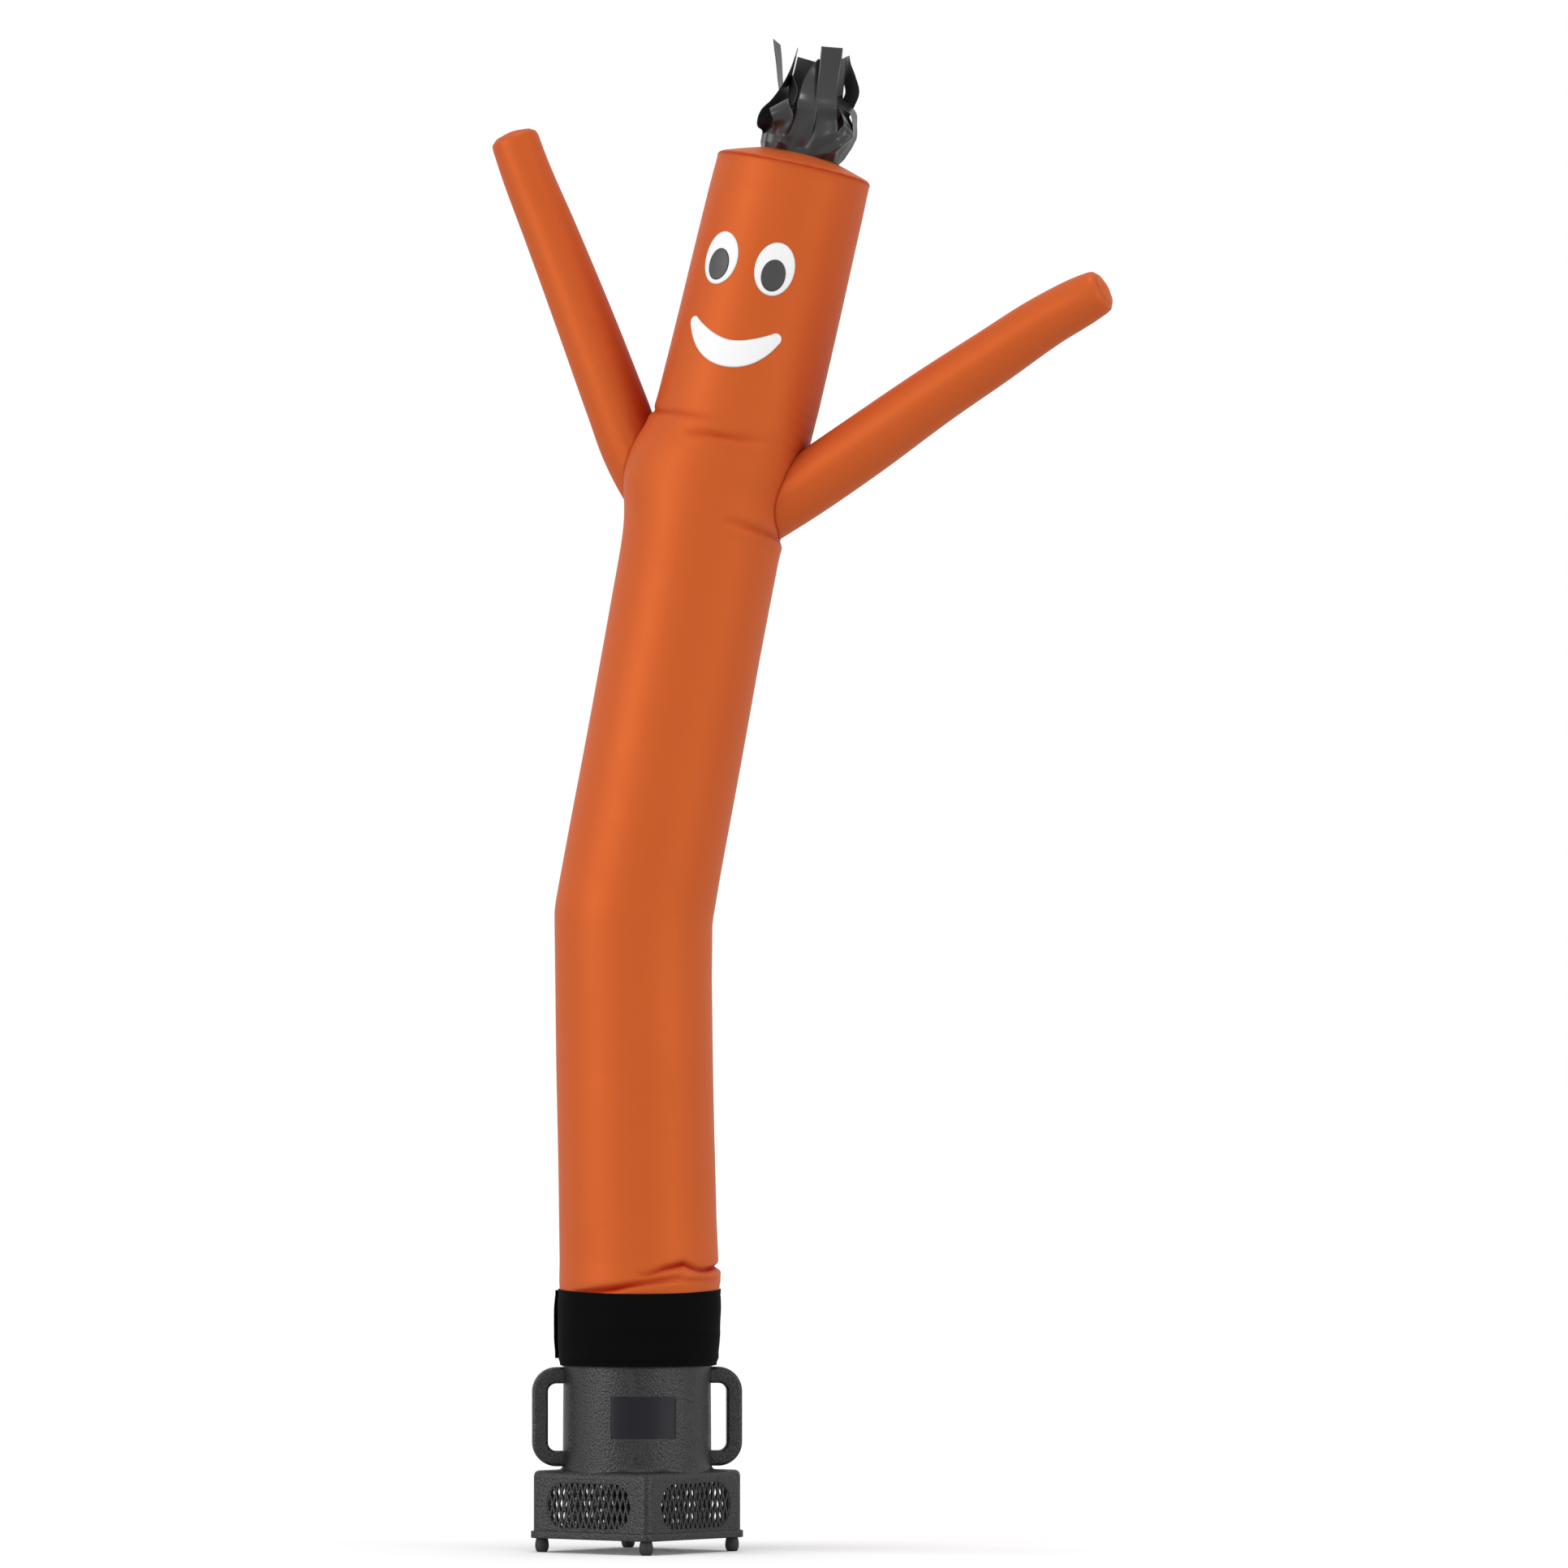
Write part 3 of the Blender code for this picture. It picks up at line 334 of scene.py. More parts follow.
def moulded(name, colours, roughness, grain, depth):
    """Moulded skin: pebbles with painted shade in their valleys, painted highlights on their tops, and an
    uneven gloss.
    """
    material, tree, shader = start_material(name, {"Specular IOR Level": 0.48})
    place = add(tree, "TexCoord").outputs["Object"]
    sway = add(tree, "TexNoise", {"Vector": place, "Scale": 0.35 / grain, "Detail": 2.0})
    bent = add(tree, "VectorMath", {0: sway.outputs["Color"], 3: grain * 0.9}, operation="SCALE")
    moved = add(tree, "VectorMath", {0: place, 1: bent.outputs[0]}, operation="ADD")
    pebbles = add(tree, "TexVoronoi", {"Vector": moved.outputs[0], "Scale": 1.0 / grain,
                                       "Smoothness": 0.5}, feature="SMOOTH_F1")
    # painted highlight on each pebble's top, painted shade in the valleys between them
    tone = add(tree, "ValToRGB", {"Fac": pebbles.outputs["Distance"]})
    for stop, hex_colour in zip(tone.color_ramp.elements, colours):
        stop.color = linear(hex_colour)
    tone.color_ramp.elements[0].position, tone.color_ramp.elements[1].position = 0.15, 0.75
    patches = add(tree, "TexNoise", {"Vector": place, "Scale": 9.0, "Detail": 4.0})
    gloss = add(tree, "MapRange", {"Value": patches.outputs["Fac"], "To Min": roughness - UNEVEN_GLOSS,
                                   "To Max": roughness + UNEVEN_GLOSS})
    height = add(tree, "Math", {0: 1.0, 1: pebbles.outputs["Distance"]}, operation="SUBTRACT")
    relief = add(tree, "Bump", {"Height": height.outputs[0], "Distance": depth, "Strength": 1.0})
    wire(tree, shader, {"Base Color": tone.outputs["Color"], "Roughness": gloss.outputs[0],
                        "Normal": relief.outputs[0]})
    return material


def mottled(name, sockets, texture, output, scale, colours, depth):
    """A finish whose tone and relief both follow one texture."""
    material, tree, shader = start_material(name, sockets)
    place = add(tree, "TexCoord").outputs["Object"]
    pattern = add(tree, texture, {"Vector": place, "Scale": scale}).outputs[output]
    relief = add(tree, "Bump", {"Height": pattern, "Distance": depth})
    tone = add(tree, "MixRGB", {"Fac": pattern, "Color1": linear(colours[0]), "Color2": linear(colours[1])})
    wire(tree, shader, {"Base Color": tone.outputs["Color"], "Normal": relief.outputs[0]})
    return material


PLASTIC = moulded("grained black polyethylene", ("#2D2D2E", "#0E0E0F"), 0.37, GRAIN, GRAIN_DEPTH)
RUBBER = moulded("black moulded rubber", ("#2B2A2A", "#222121"), 0.62, GRAIN / 2, GRAIN_DEPTH / 5)
FILM = mottled("glossy black laminate film", {"Roughness": 0.36, "Specular IOR Level": 0.22},
               "TexNoise", "Fac", 30.0, ("#15141B", "#1B1A22"), 0.0002)
HOOKS = mottled("black nylon hook tape", {"Roughness": 0.8},
                "TexVoronoi", "Distance", 1.0 / HOOK_SPACING, ("#1B1B1C", "#0C0C0D"), 0.0006)
print("moulded finishes:", [m.name for m in (PLASTIC, RUBBER, FILM, HOOKS)])

# %% [markdown]
# ## The body tube
# The tube is sewn from flat panels and filled with air, so it is round everywhere, and it bends only where
# it kinks: it stands upright to its waist, leans from there, and leans a little more above the shoulders.
# A short table says where its rings are. Reading the table at five places close together and taking
# their mean rounds its corners a little, as taut cloth does.

# %% The tube's rings
RINGS = np.array([  # ring centre height, offset along X, lean in degrees, radius
    (0.5000, 0.0050, 0.0, 0.1650),
    (0.5440, 0.0050, 0.0, 0.1652),
    (0.5560, 0.0048, 0.0, 0.1662),
    (0.6000, 0.0040, 0.0, 0.1645),
    (0.6910, 0.0010, -1.0, 0.1630),
    (0.8590, -0.0025, -1.0, 0.1622),
    (1.1950, -0.0076, 0.0, 0.1622),
    (1.3150, -0.0076, 5.2, 0.1642),
    (1.4200, 0.0115, 10.3, 0.1630),
    (1.8670, 0.0935, 10.3, 0.1622),
    (2.0350, 0.1240, 10.3, 0.1632),
    (2.1360, 0.1425, 10.3, 0.1640),
    (2.1860, 0.1515, 10.8, 0.1645),
    (2.2600, 0.1720, 12.0, 0.1655),
    (2.3260, 0.1980, 13.0, 0.1652),
    (2.4000, 0.2160, 13.4, 0.1660),
    (2.6300, 0.2710, 13.4, 0.1640),
    (2.8000, 0.3118, 13.4, 0.1622),
    (2.8600, 0.3260, 12.2, 0.1605),
    (2.8900, 0.3331, 12.2, 0.1602),
])
TUBE_TOP = 2.862
ROUNDING = 0.010                # how far up and down the mean reaches


def ring_value(height, column):
    """A column of the table at any height: the mean of straight interpolations at five near heights."""
    near = np.linspace(-ROUNDING, ROUNDING, 5)
    return np.mean([np.interp(height + step, RINGS[:, 0], RINGS[:, column]) for step in near], axis=0)


print("lean at the top:", round(float(ring_value(TUBE_TOP, 2)), 1), "degrees")

# %% [markdown]
# Creases form where the cloth has more length than it needs: under the neck, below the right arm and over
# the sleeve. Each is a soft trough along a bowed line, with a low ridge under it where the spare cloth
# gathers. A trough is a Gauss curve across its line and fades out at both ends. Shade is painted along each
# trough, a little below its line, darker where the trough is deeper.

# %% Creases and swellings
CREASES = [  # half width, then (angle, height, depth) along the trough
    (0.0058, [(0, 0.5770, 0.0030), (14, 0.5900, 0.0060), (29, 0.5985, 0.0075), (36, 0.5910, 0.0065),
              (43, 0.5850, 0.0060), (52, 0.5845, 0.0070), (66, 0.5880, 0.0090), (96, 0.5910, 0.0100)]),
    (0.0062, [(-54, 0.5375, 0.0055), (-23, 0.5490, 0.0080), (-13, 0.5550, 0.0070), (0, 0.5610, 0.0050),
              (22, 0.5700, 0.0022)]),
    (0.0080, [(14, 2.1340, 0.0014), (30, 2.1310, 0.0026), (44, 2.1280, 0.0032), (66, 2.1210, 0.0050),
              (104, 2.1190, 0.0050)]),
    (0.0060, [(-112, 2.3260, 0.0060), (-72, 2.3240, 0.0038), (-40, 2.3280, 0.0022),
              (-22, 2.3300, 0.0010)]),
    (0.0075, [(-30, 2.2970, 0.0022), (-12, 2.2985, 0.0038), (4, 2.3020, 0.0024), (18, 2.3050, 0.0006)]),
    (0.0050, [(10, 0.5640, 0.0012), (40, 0.5650, 0.0016), (70, 0.5620, 0.0010)]),
]
CREASE_FADE = 11.0
RIDGE_SHARE, RIDGE_DROP, RIDGE_WIDTH = 0.35, 2.0, 1.5
SWELLINGS = [  # angle, height, amount, spread in degrees, spread in height
    (-98.0, 2.2150, 0.0215, 42.0, 0.0820),
    (80.0, 2.2500, 0.0080, 40.0, 0.0450),
    (80.0, 0.5620, 0.0022, 40.0, 0.0100),
    (36.0, 0.5720, 0.0030, 26.0, 0.0090),
]
FULL_FOLD = 0.0080              # a trough this deep gets the darkest painted shade
SHADE_DROP = 0.2                # a trough's shade lies a little below its line
SLACK, SLACK_TURNS = 0.0007, 3  # taut cloth still isn't a perfect cylinder


def bell(offset, reach=1.0):
    """A Gauss curve: one at no offset, falling to almost nothing at twice the reach."""
    return np.exp(-(offset / reach) ** 2)


def ease(share):
    """From nothing to one with a soft start and a soft end: 3 share^2 - 2 share^3."""
    return share * share * (3 - 2 * share)


def wrapped(angle):
    """The same angle between -180 and 180 degrees."""
    return (angle + 180.0) % 360.0 - 180.0


def fade_window(value, start, end, fade):
    """One between start and end, falling smoothly to nothing over the fade beyond each."""
    share = np.clip(np.minimum((value - start) / fade + 1, (end - value) / fade + 1), 0, 1)
    return ease(share)


def tube_radius(angle, height):
    """(radius, shade): the table's radius, less troughs, plus ridges and swellings; shade is painted in the
    troughs.
    """
    turned = wrapped(np.asarray(angle, float))
    turned, height = np.broadcast_arrays(turned, np.asarray(height, float))
    radius = ring_value(height, 3) + SLACK * np.sin(
        np.radians(SLACK_TURNS * turned) + 9.0 * height) * np.sin(5.3 * height)
    fold = np.zeros(turned.shape)
    for width, line in CREASES:
        at, level, deep = np.array(line, float).T
        off = (height - np.interp(turned, at, level)) / width
        depth = np.interp(turned, at, deep) * fade_window(turned, at[0], at[-1], CREASE_FADE)
        radius = radius - depth * bell(off)
        radius = radius + RIDGE_SHARE * depth * bell(off + RIDGE_DROP, RIDGE_WIDTH)
        # painted shade, darkest just below the trough's line
        fold = np.maximum(fold, bell(off + SHADE_DROP) * np.minimum(1.0, depth / FULL_FOLD))
    for middle, level, amount, spread, reach in SWELLINGS:
        off = wrapped(turned - middle)
        radius = radius + amount * np.exp(-(off / spread) ** 2 - ((height - level) / reach) ** 2)
    return radius, fold


def tube_point(angle, height, lift=0.0):
    """A point of the leaning ring at this height: out by the radius, tipped about the ring's Y axis."""
    radius = tube_radius(angle, height)[0] + lift
    turn_angle, lean = np.radians(angle), np.radians(ring_value(height, 2))
    across = radius * np.sin(turn_angle)
    return AXIS + np.stack(np.broadcast_arrays(
        ring_value(height, 1) + across * np.cos(lean), -radius * np.cos(turn_angle),
        height - across * np.sin(lean)), -1)


print("deepest crease:", 1000 * max(point[2] for _, line in CREASES for point in line), "mm")

# %% [markdown]
# ## The arms
# Each arm is a tapered tube along a gently bent line in the figure's own plane, which is turned a little
# to its right. A maker cuts the arm's end to a curve so that it meets the round body. Here each column of
# the arm is walked inwards until it reaches the body's surface, which gives that same curve.

# %% The arms' lines
SHOULDER_X, ARM_TURN = 0.190, -23.5
ARM_RIGHT = np.array([  # distance out from the shoulder line, height, radius
    (0.0000, 2.1050, 0.0645), (0.1800, 2.2120, 0.0645), (0.2860, 2.2810, 0.0642),
    (0.4540, 2.3930, 0.0600), (0.5690, 2.4650, 0.0575), (0.6880, 2.5400, 0.0535),
    (0.7740, 2.5850, 0.0490), (0.8110, 2.6030, 0.0435)])
ARM_LEFT = np.array([
    (-0.1200, 2.1500, 0.0660), (-0.1760, 2.2260, 0.0655), (-0.2060, 2.2800, 0.0645),
    (-0.2430, 2.3730, 0.0635), (-0.3030, 2.5260, 0.0605), (-0.3860, 2.7300, 0.0550),
    (-0.4480, 2.8780, 0.0505), (-0.4705, 2.9400, 0.0490)])
ARMS = {"right": ARM_RIGHT, "left": ARM_LEFT}
ARM_SAMPLES, ARM_COLUMNS = 400, 96

arm_out = np.array([math.cos(math.radians(ARM_TURN)), math.sin(math.radians(ARM_TURN)), 0.0])
UP = np.array([0.0, 0.0, 1.0])
arm_front = np.cross(arm_out, UP)


def unit(vectors):
    """Vectors scaled to length one."""
    return vectors / np.linalg.norm(vectors, axis=-1, keepdims=True)


def line_length(points):
    """Length of the line through points[..., row, coordinate]."""
    return np.linalg.norm(np.diff(points, axis=-2), axis=-1).sum(axis=-1)


def smooth_rows(table, count, position=2, first=0):
    """Evenly spaced rows on a cubic curve through a table's rows. Its first columns are the position."""
    steps = np.linalg.norm(np.diff(table[:, :position], axis=0), axis=1)
    at = np.concatenate([[0.0], np.cumsum(steps)])
    slope = np.gradient(table, at, axis=0)
    where = np.linspace(at[first], at[-1], count)
    cell = np.clip(np.searchsorted(at, where, side="right") - 1, 0, len(at) - 2)
    width = (at[cell + 1] - at[cell])[:, None]
    share = ((where - at[cell]) / width[:, 0])[:, None]
    return ((2 * share**3 - 3 * share**2 + 1) * table[cell]
            + (share**3 - 2 * share**2 + share) * width * slope[cell]
            + (3 * share**2 - 2 * share**3) * table[cell + 1]
            + (share**3 - share**2) * width * slope[cell + 1])


def arm_line(table):
    """Centres, directions and radii along an arm."""
    rows = smooth_rows(table, ARM_SAMPLES)
    centres = AXIS + SHOULDER_X * np.array([1.0, 0.0, 0.0]) + rows[:, :1] * arm_out + rows[:, 1:2] * UP
    return centres, unit(np.gradient(centres, axis=0)), rows[:, 2]


def outside_body(points):
    """How far points lie outside the body: their ring is found by stepping along the tube's direction."""
    local = points - AXIS
    height = local[..., 2].copy()
    for _ in range(6):
        lean = np.radians(ring_value(height, 2))
        height += (local[..., 0] - ring_value(height, 1)) * np.sin(lean) + (
            local[..., 2] - height) * np.cos(lean)
    lean = np.radians(ring_value(height, 2))
    across = (local[..., 0] - ring_value(height, 1)) * np.cos(lean) - (
        local[..., 2] - height) * np.sin(lean)
    angle = np.degrees(np.arctan2(across, -local[..., 1]))
    return np.hypot(across, local[..., 1]) - tube_radius(angle, height)[0]


def near_arm(points, table):
    """(how far points lie outside an arm, directions to its line), by the nearest of its samples."""
    centres, _, radii = arm_line(table)
    to_line = centres[::8] - points[..., None, :]
    reach = np.linalg.norm(to_line, axis=-1)
    nearest = np.argmin(reach - radii[::8], axis=-1)[..., None]
    gap = np.take_along_axis(reach - radii[::8], nearest, -1)[..., 0]
    towards = np.take_along_axis(to_line, nearest[..., None], -2)[..., 0, :]
    return gap, towards / np.take_along_axis(reach, nearest, -1)


def pit_shade(gap, outwards, towards, reach, power):
    """How much shade is painted in an armpit: close to the other surface, facing it, and on its upper side.
    """
    facing = np.clip((outwards * towards).sum(axis=-1), 0, 1)
    above = np.clip(1.0 - 1.6 * towards[..., 2], 0, 1)
    return np.exp(-np.maximum(gap, 0) / reach) * facing**power * above


for name, table in ARMS.items():
    print(name, "arm length:", round(float(line_length(table[:, :2])), 3))

# %% [markdown]
# The body's grid is fine where it creases and coarse where it is plain. The two armholes are quads left
# out inside the arms. Along each armhole the sewing draws the cloth in, and shade painted along it makes a
# thin dark line. Shade is painted into the armpits, more where the key light doesn't reach, and along the
# top hem.

# %% Body tube
SEAM_PULL, SEAM_REACH = 0.0007, 0.0034
ARMHOLE_INSIDE = -0.0060        # quads this far inside an arm are left out
HEM_RAISE, HEM_REACH = 0.0009, 0.004
# shade painted in the armpits, along the armhole seams and along the top hem
BODY_PIT_REACH, BODY_PIT_POWER = 0.170, 1.3
PIT_AMOUNTS = {"right": 1.0, "left": 0.25}      # the left armpit faces the key light
SEAM_SHADE, HEM_SHADE = 0.25, 0.4
NYLON_WALL = 0.0008
BODY_COLUMNS = 150
SEAM_ANGLE, SEAM_HALF, SEAM_RAISE = 174.0, 3.2, 0.0011   # the long seam, up the back
DENSE_BANDS = [(0.5310, 0.6300, 0.0024), (2.0900, 2.4000, 0.0046)]


def full_turn(count, whole=360.0):
    """Even steps once round."""
    return np.arange(count) * whole / count


def level_heights():
    """Ring heights: even steps in the creased bands, and 20 mm steps between and beyond them."""
    fine = [np.arange(low, high, step) for low, high, step in DENSE_BANDS]
    plain = [np.arange(DENSE_BANDS[0][1], DENSE_BANDS[1][0], 0.020),
             np.arange(DENSE_BANDS[1][1], TUBE_TOP - 0.012, 0.020)]
    return np.unique(np.concatenate(fine + plain + [[TUBE_TOP - 0.006, TUBE_TOP - 0.003, TUBE_TOP]]))


heights = level_heights()[:, None]
seam_angles = SEAM_ANGLE + SEAM_HALF * np.array([-1.25, -1.0, -0.94, 0.94, 1.0, 1.25])
angles = np.sort(np.concatenate([full_turn(BODY_COLUMNS) - 180.0, seam_angles]))
fold = tube_radius(angles, heights)[1]
raised = SEAM_RAISE * (np.abs(angles - SEAM_ANGLE) < SEAM_HALF + 0.01)
hem = HEM_RAISE * bell(heights - TUBE_TOP, HEM_REACH) * np.ones_like(angles)
body_points = tube_point(angles, heights, raised + hem)
ring_centres = AXIS + np.stack(np.broadcast_arrays(ring_value(heights, 1), 0 * heights, heights), -1)
outwards = unit(body_points - ring_centres)
armhole, pit = np.full(fold.shape, 1.0), np.zeros(fold.shape)
for name, table in ARMS.items():
    gap, towards = near_arm(body_points, table)
    armhole = np.minimum(armhole, gap)
    shade = pit_shade(gap, outwards, towards, BODY_PIT_REACH, BODY_PIT_POWER)
    pit = np.maximum(pit, PIT_AMOUNTS[name] * shade)
pull = bell(armhole, SEAM_REACH)
body_points = tube_point(angles, heights, raised + hem - SEAM_PULL * pull)
inside = armhole < ARMHOLE_INSIDE
closed = np.concatenate([inside, inside[:, :1]], 1)
left_out = closed[:-1, :-1] & closed[1:, :-1] & closed[:-1, 1:] & closed[1:, 1:]
# painted shade: in the creases, along the armhole seams, in the armpits and along the top hem
fold = np.maximum.reduce([fold, SEAM_SHADE * pull, pit, HEM_SHADE * hem / HEM_RAISE])
body_mesh = grid_mesh("body", body_points, ring=True, keep=~left_out, fold=fold)
body = make_piece("nylon_body", body_mesh, NYLON, "orange_nylon", "body_tube", wall=NYLON_WALL)
tube_length = float(line_length(tube_point(0.0, level_heights())))

# %% Arms
PUCKERS, PUCKER_DEPTH, PUCKER_REACH, PUCKER_START = 17, 0.0007, 0.030, 0.01
ARM_END_ROUND, ARM_END_REACH = 0.0110, 0.0160
ROOT_CROWDING = 1.25            # rows lie closer together near the root
# shade painted in each arm's armpit and along its seam
ARM_PIT_REACH, ARM_PIT_POWER, ARM_SEAM_SHADE = 0.160, 0.7, 0.22
ARM_PITS = {"right": 0.25, "left": 1.0}         # the right arm's upper side faces the key light


def arm_surface(table, pit_amount, rows=120):
    """(points, painted shade): rings along the arm's line, whose first row is where each column leaves the
    body.
    """
    centres, directions, radii = arm_line(table)
    turns = full_turn(ARM_COLUMNS, 2 * math.pi)
    ring = (np.cos(turns)[:, None] * arm_front
            + np.sin(turns)[:, None] * np.cross(directions, arm_front)[:, None, :])
    full = centres[:, None] + radii[:, None, None] * ring
    outside = outside_body(full)
    last = ARM_SAMPLES - 1 - np.argmax(outside[::-1] < 0, axis=0)
    column = np.arange(ARM_COLUMNS)
    before, after = outside[last, column], outside[last + 1, column]
    start = last + before / (before - after)
    share = np.linspace(0.0, 1.0, rows)[:, None] ** ROOT_CROWDING
    at = start + (ARM_SAMPLES - 1 - start) * share
    cell = np.clip(at.astype(int), 0, ARM_SAMPLES - 2)
    part = (at - cell)[..., None]
    points = full[cell, column] * (1 - part) + full[cell + 1, column] * part
    step = np.linalg.norm(np.diff(centres, axis=0), axis=1).mean()
    from_root, from_end = (at - start) * step, (ARM_SAMPLES - 1 - at) * step
    pull = SEAM_PULL * bell(from_root, SEAM_REACH)
    pucker = PUCKER_DEPTH * np.sin(PUCKERS * turns) * np.exp(-from_root / PUCKER_REACH)
    pucker = pucker * np.clip(from_root / PUCKER_START, 0, 1)
    end = 1 - np.clip(from_end / ARM_END_REACH, 0, 1)
    rounding = ARM_END_ROUND * (1 - np.sqrt(1 - end**2))
    outwards = ring[np.clip(np.round(at).astype(int), 0, ARM_SAMPLES - 1), column]
    points = points + outwards * (pucker - pull - rounding)[..., None]
    body_axis = AXIS + np.stack([ring_value(points[..., 2], 1), 0 * at, points[..., 2]], -1)
    # painted shade where the arm faces the body near its armpit, and along the seam
    shade = pit_shade(outside_body(points), outwards, unit(body_axis - points), ARM_PIT_REACH,
                      ARM_PIT_POWER)
    return points, np.maximum(ARM_SEAM_SHADE * pull / SEAM_PULL, pit_amount * shade)


for name, table in ARMS.items():
    points, fold = arm_surface(table, ARM_PITS[name])
    mesh = grid_mesh("arm_" + name, points[:, ::-1], ring=True, fold=fold[:, ::-1])
    make_piece("nylon_arm_" + name, mesh, NYLON, "orange_nylon", "arm_" + name,
                            wall=NYLON_WALL)

# %% [markdown]
# A flat disc closes each tube, and the air domes it. The small waves near the rim are the puckers of the
# round seam. Shade is painted along the rim.

# %% End discs
DISC_ROWS, DISC_COLUMNS, DOME_ROUND, SKIRT_SHARE = 26, 96, 0.6, 0.05
RIM_PUCKERS, RIM_PUCKER, PUCKER_SHARE, RIM_SHADE_SHARE = 26, 0.0005, 0.10, 0.02
TOP_RISE, TOP_SKIRT, TOP_SHADE = 0.0370, 0.0050, 0.6
ARM_END_RISE, ARM_END_SHADE = 0.0080, 0.1


def domed_disc(centre, direction, rim_radius, rise, skirt, shade):
    """Rings from the rim to the pole: a rounded skirt, then a cone whose tip is well rounded."""
    share = np.sin(np.linspace(math.pi / 2, 0.0, DISC_ROWS))[:, None]
    turns = full_turn(DISC_COLUMNS, 2 * math.pi)
    whole = math.hypot(1, DOME_ROUND) - DOME_ROUND
    height = rise * (1 - (np.hypot(share, DOME_ROUND) - DOME_ROUND) / whole)
    height = height + skirt * np.sqrt(1 - np.clip((share - 1 + SKIRT_SHARE) / SKIRT_SHARE, 0, 1) ** 2)
    pucker = RIM_PUCKER * np.sin(RIM_PUCKERS * turns) * bell(1 - share, PUCKER_SHARE)
    height = height + pucker * (share < 1)
    side = unit(np.cross(UP, direction))
    other = np.cross(direction, side)
    flat = np.cos(turns)[:, None] * side + np.sin(turns)[:, None] * other
    points = centre + rim_radius * share[..., None] * flat + height[..., None] * direction
    # painted shade along the rim
    return points, shade * bell(1 - share, RIM_SHADE_SHARE) + 0 * turns


lean = math.radians(float(ring_value(TUBE_TOP, 2)))
head_direction = np.array([math.sin(lean), 0.0, math.cos(lean)])
head_centre = AXIS + np.array([float(ring_value(TUBE_TOP, 1)), 0.0, TUBE_TOP])
points, fold = domed_disc(head_centre, head_direction, float(ring_value(TUBE_TOP, 3)), TOP_RISE,
                          TOP_SKIRT, TOP_SHADE)
top_cap = make_piece("nylon_top_cap", grid_mesh("top_cap", points, ring=True, fold=fold), NYLON,
                     "orange_nylon", "top_cap", wall=NYLON_WALL)
for name, table in ARMS.items():
    centres, directions, radii = arm_line(table)
    points, fold = domed_disc(centres[-1], directions[-1], radii[-1] - ARM_END_ROUND, ARM_END_RISE, 0.0,
                              ARM_END_SHADE)
    make_piece("nylon_arm_cap_" + name, grid_mesh("cap", points, ring=True, fold=fold),
                                NYLON, "orange_nylon", f"arm_{name}_cap", wall=NYLON_WALL)

# %% [markdown]
# ## The face
# Eyes, pupils and smile are white and grey cloth, sewn on flat, so they follow the round head. An eye is
# a grid of ovals from its middle to its edge. The smile is a brush stroke: a bowed line whose width
# grows towards the middle and ends in half circles. A patch is 1.2 mm thick with a rounded edge, and
# shade is painted along that edge.

# %% Patches on the head
FACE_ANGLE = -23.5
EYE_ARC, EYE_HEIGHT, EYE_WIDTH, EYE_LENGTH = 0.0615, 2.6465, 0.084, 0.109
PUPIL_DROP, PUPIL_WIDTH, PUPIL_LENGTH = 0.0130, 0.050, 0.065
SMILE_WIDTH, SMILE_MIDDLE, SMILE_RISE, SMILE_SHIFT = 0.213, 2.4610, 0.049, 0.0035
SMILE_THICKNESS, SMILE_TIP, SMILE_FULLNESS = 0.055, 0.0125, 2.5
PATCH, PATCH_LIFT, PATCH_EDGE = 0.0012, 0.0005, 0.0024
PATCH_SHADE, EDGE_ROUND, PUPIL_GAP = 0.55, 0.75, 0.0003
OVAL_RINGS, OVAL_COLUMNS, OVAL_CROWDING = 14, 72, 0.7


def on_head(arc, height, lift):
    """A point of the head at an arc length from the face's middle and at a ring height."""
    angle = FACE_ANGLE + np.degrees(arc / ring_value(height, 3))
    return tube_point(angle, height, lift)


def edge_drop(inside):
    """How much a patch's face drops near its edge: a quarter round over the last few millimetres."""
    share = 1 - np.clip(inside / PATCH_EDGE, 0, 1)
    return PATCH * EDGE_ROUND * (1 - np.sqrt(np.maximum(1 - share**2, 0)))


def oval_mesh(name, middle_arc, middle_height, width, length, lift):
    """Rings of an oval from its middle to its edge, then straight down to the cloth under it."""
    share = np.append(np.linspace(0.0, 1.0, OVAL_RINGS) ** OVAL_CROWDING, 1.0)[:, None]
    turns = full_turn(OVAL_COLUMNS, 2 * math.pi)
    out = PATCH - edge_drop((1 - share) * width / 2)
    out[-1] = 0.0
    points = on_head(middle_arc + width / 2 * share * np.cos(turns),
                     middle_height + length / 2 * share * np.sin(turns), lift + out)
    back = points[-1:] * 0 + on_head(middle_arc, np.full_like(turns, middle_height), lift)
    # painted shade along the rounded edge
    edge = np.clip(1 - (1 - share) * width / 2 / PATCH_EDGE, 0, 1) + 0 * turns
    return grid_mesh(name, np.concatenate([points, back])[::-1], ring=True,
                     fold=PATCH_SHADE * np.concatenate([edge, edge[:1] * 0])[::-1])


for name, arc in (("left", -EYE_ARC), ("right", EYE_ARC)):
    mesh = oval_mesh("eye", arc, EYE_HEIGHT, EYE_WIDTH, EYE_LENGTH, PATCH_LIFT)
    make_piece("eye_patch_" + name, mesh, WHITE_CLOTH, "white_cloth", "eye_" + name)
    mesh = oval_mesh("pupil", arc, EYE_HEIGHT - PUPIL_DROP, PUPIL_WIDTH, PUPIL_LENGTH,
                     PATCH_LIFT + PATCH + PUPIL_GAP)
    make_piece("pupil_patch_" + name, mesh, PUPIL_CLOTH, "grey_cloth", "pupil_" + name)

# %% Smile
SMILE_COLUMNS, SMILE_ROWS = 90, 13


def dense_ends(count):
    """Numbers from -1 to 1, close together at both ends."""
    return np.sin(np.linspace(-math.pi / 2, math.pi / 2, count))


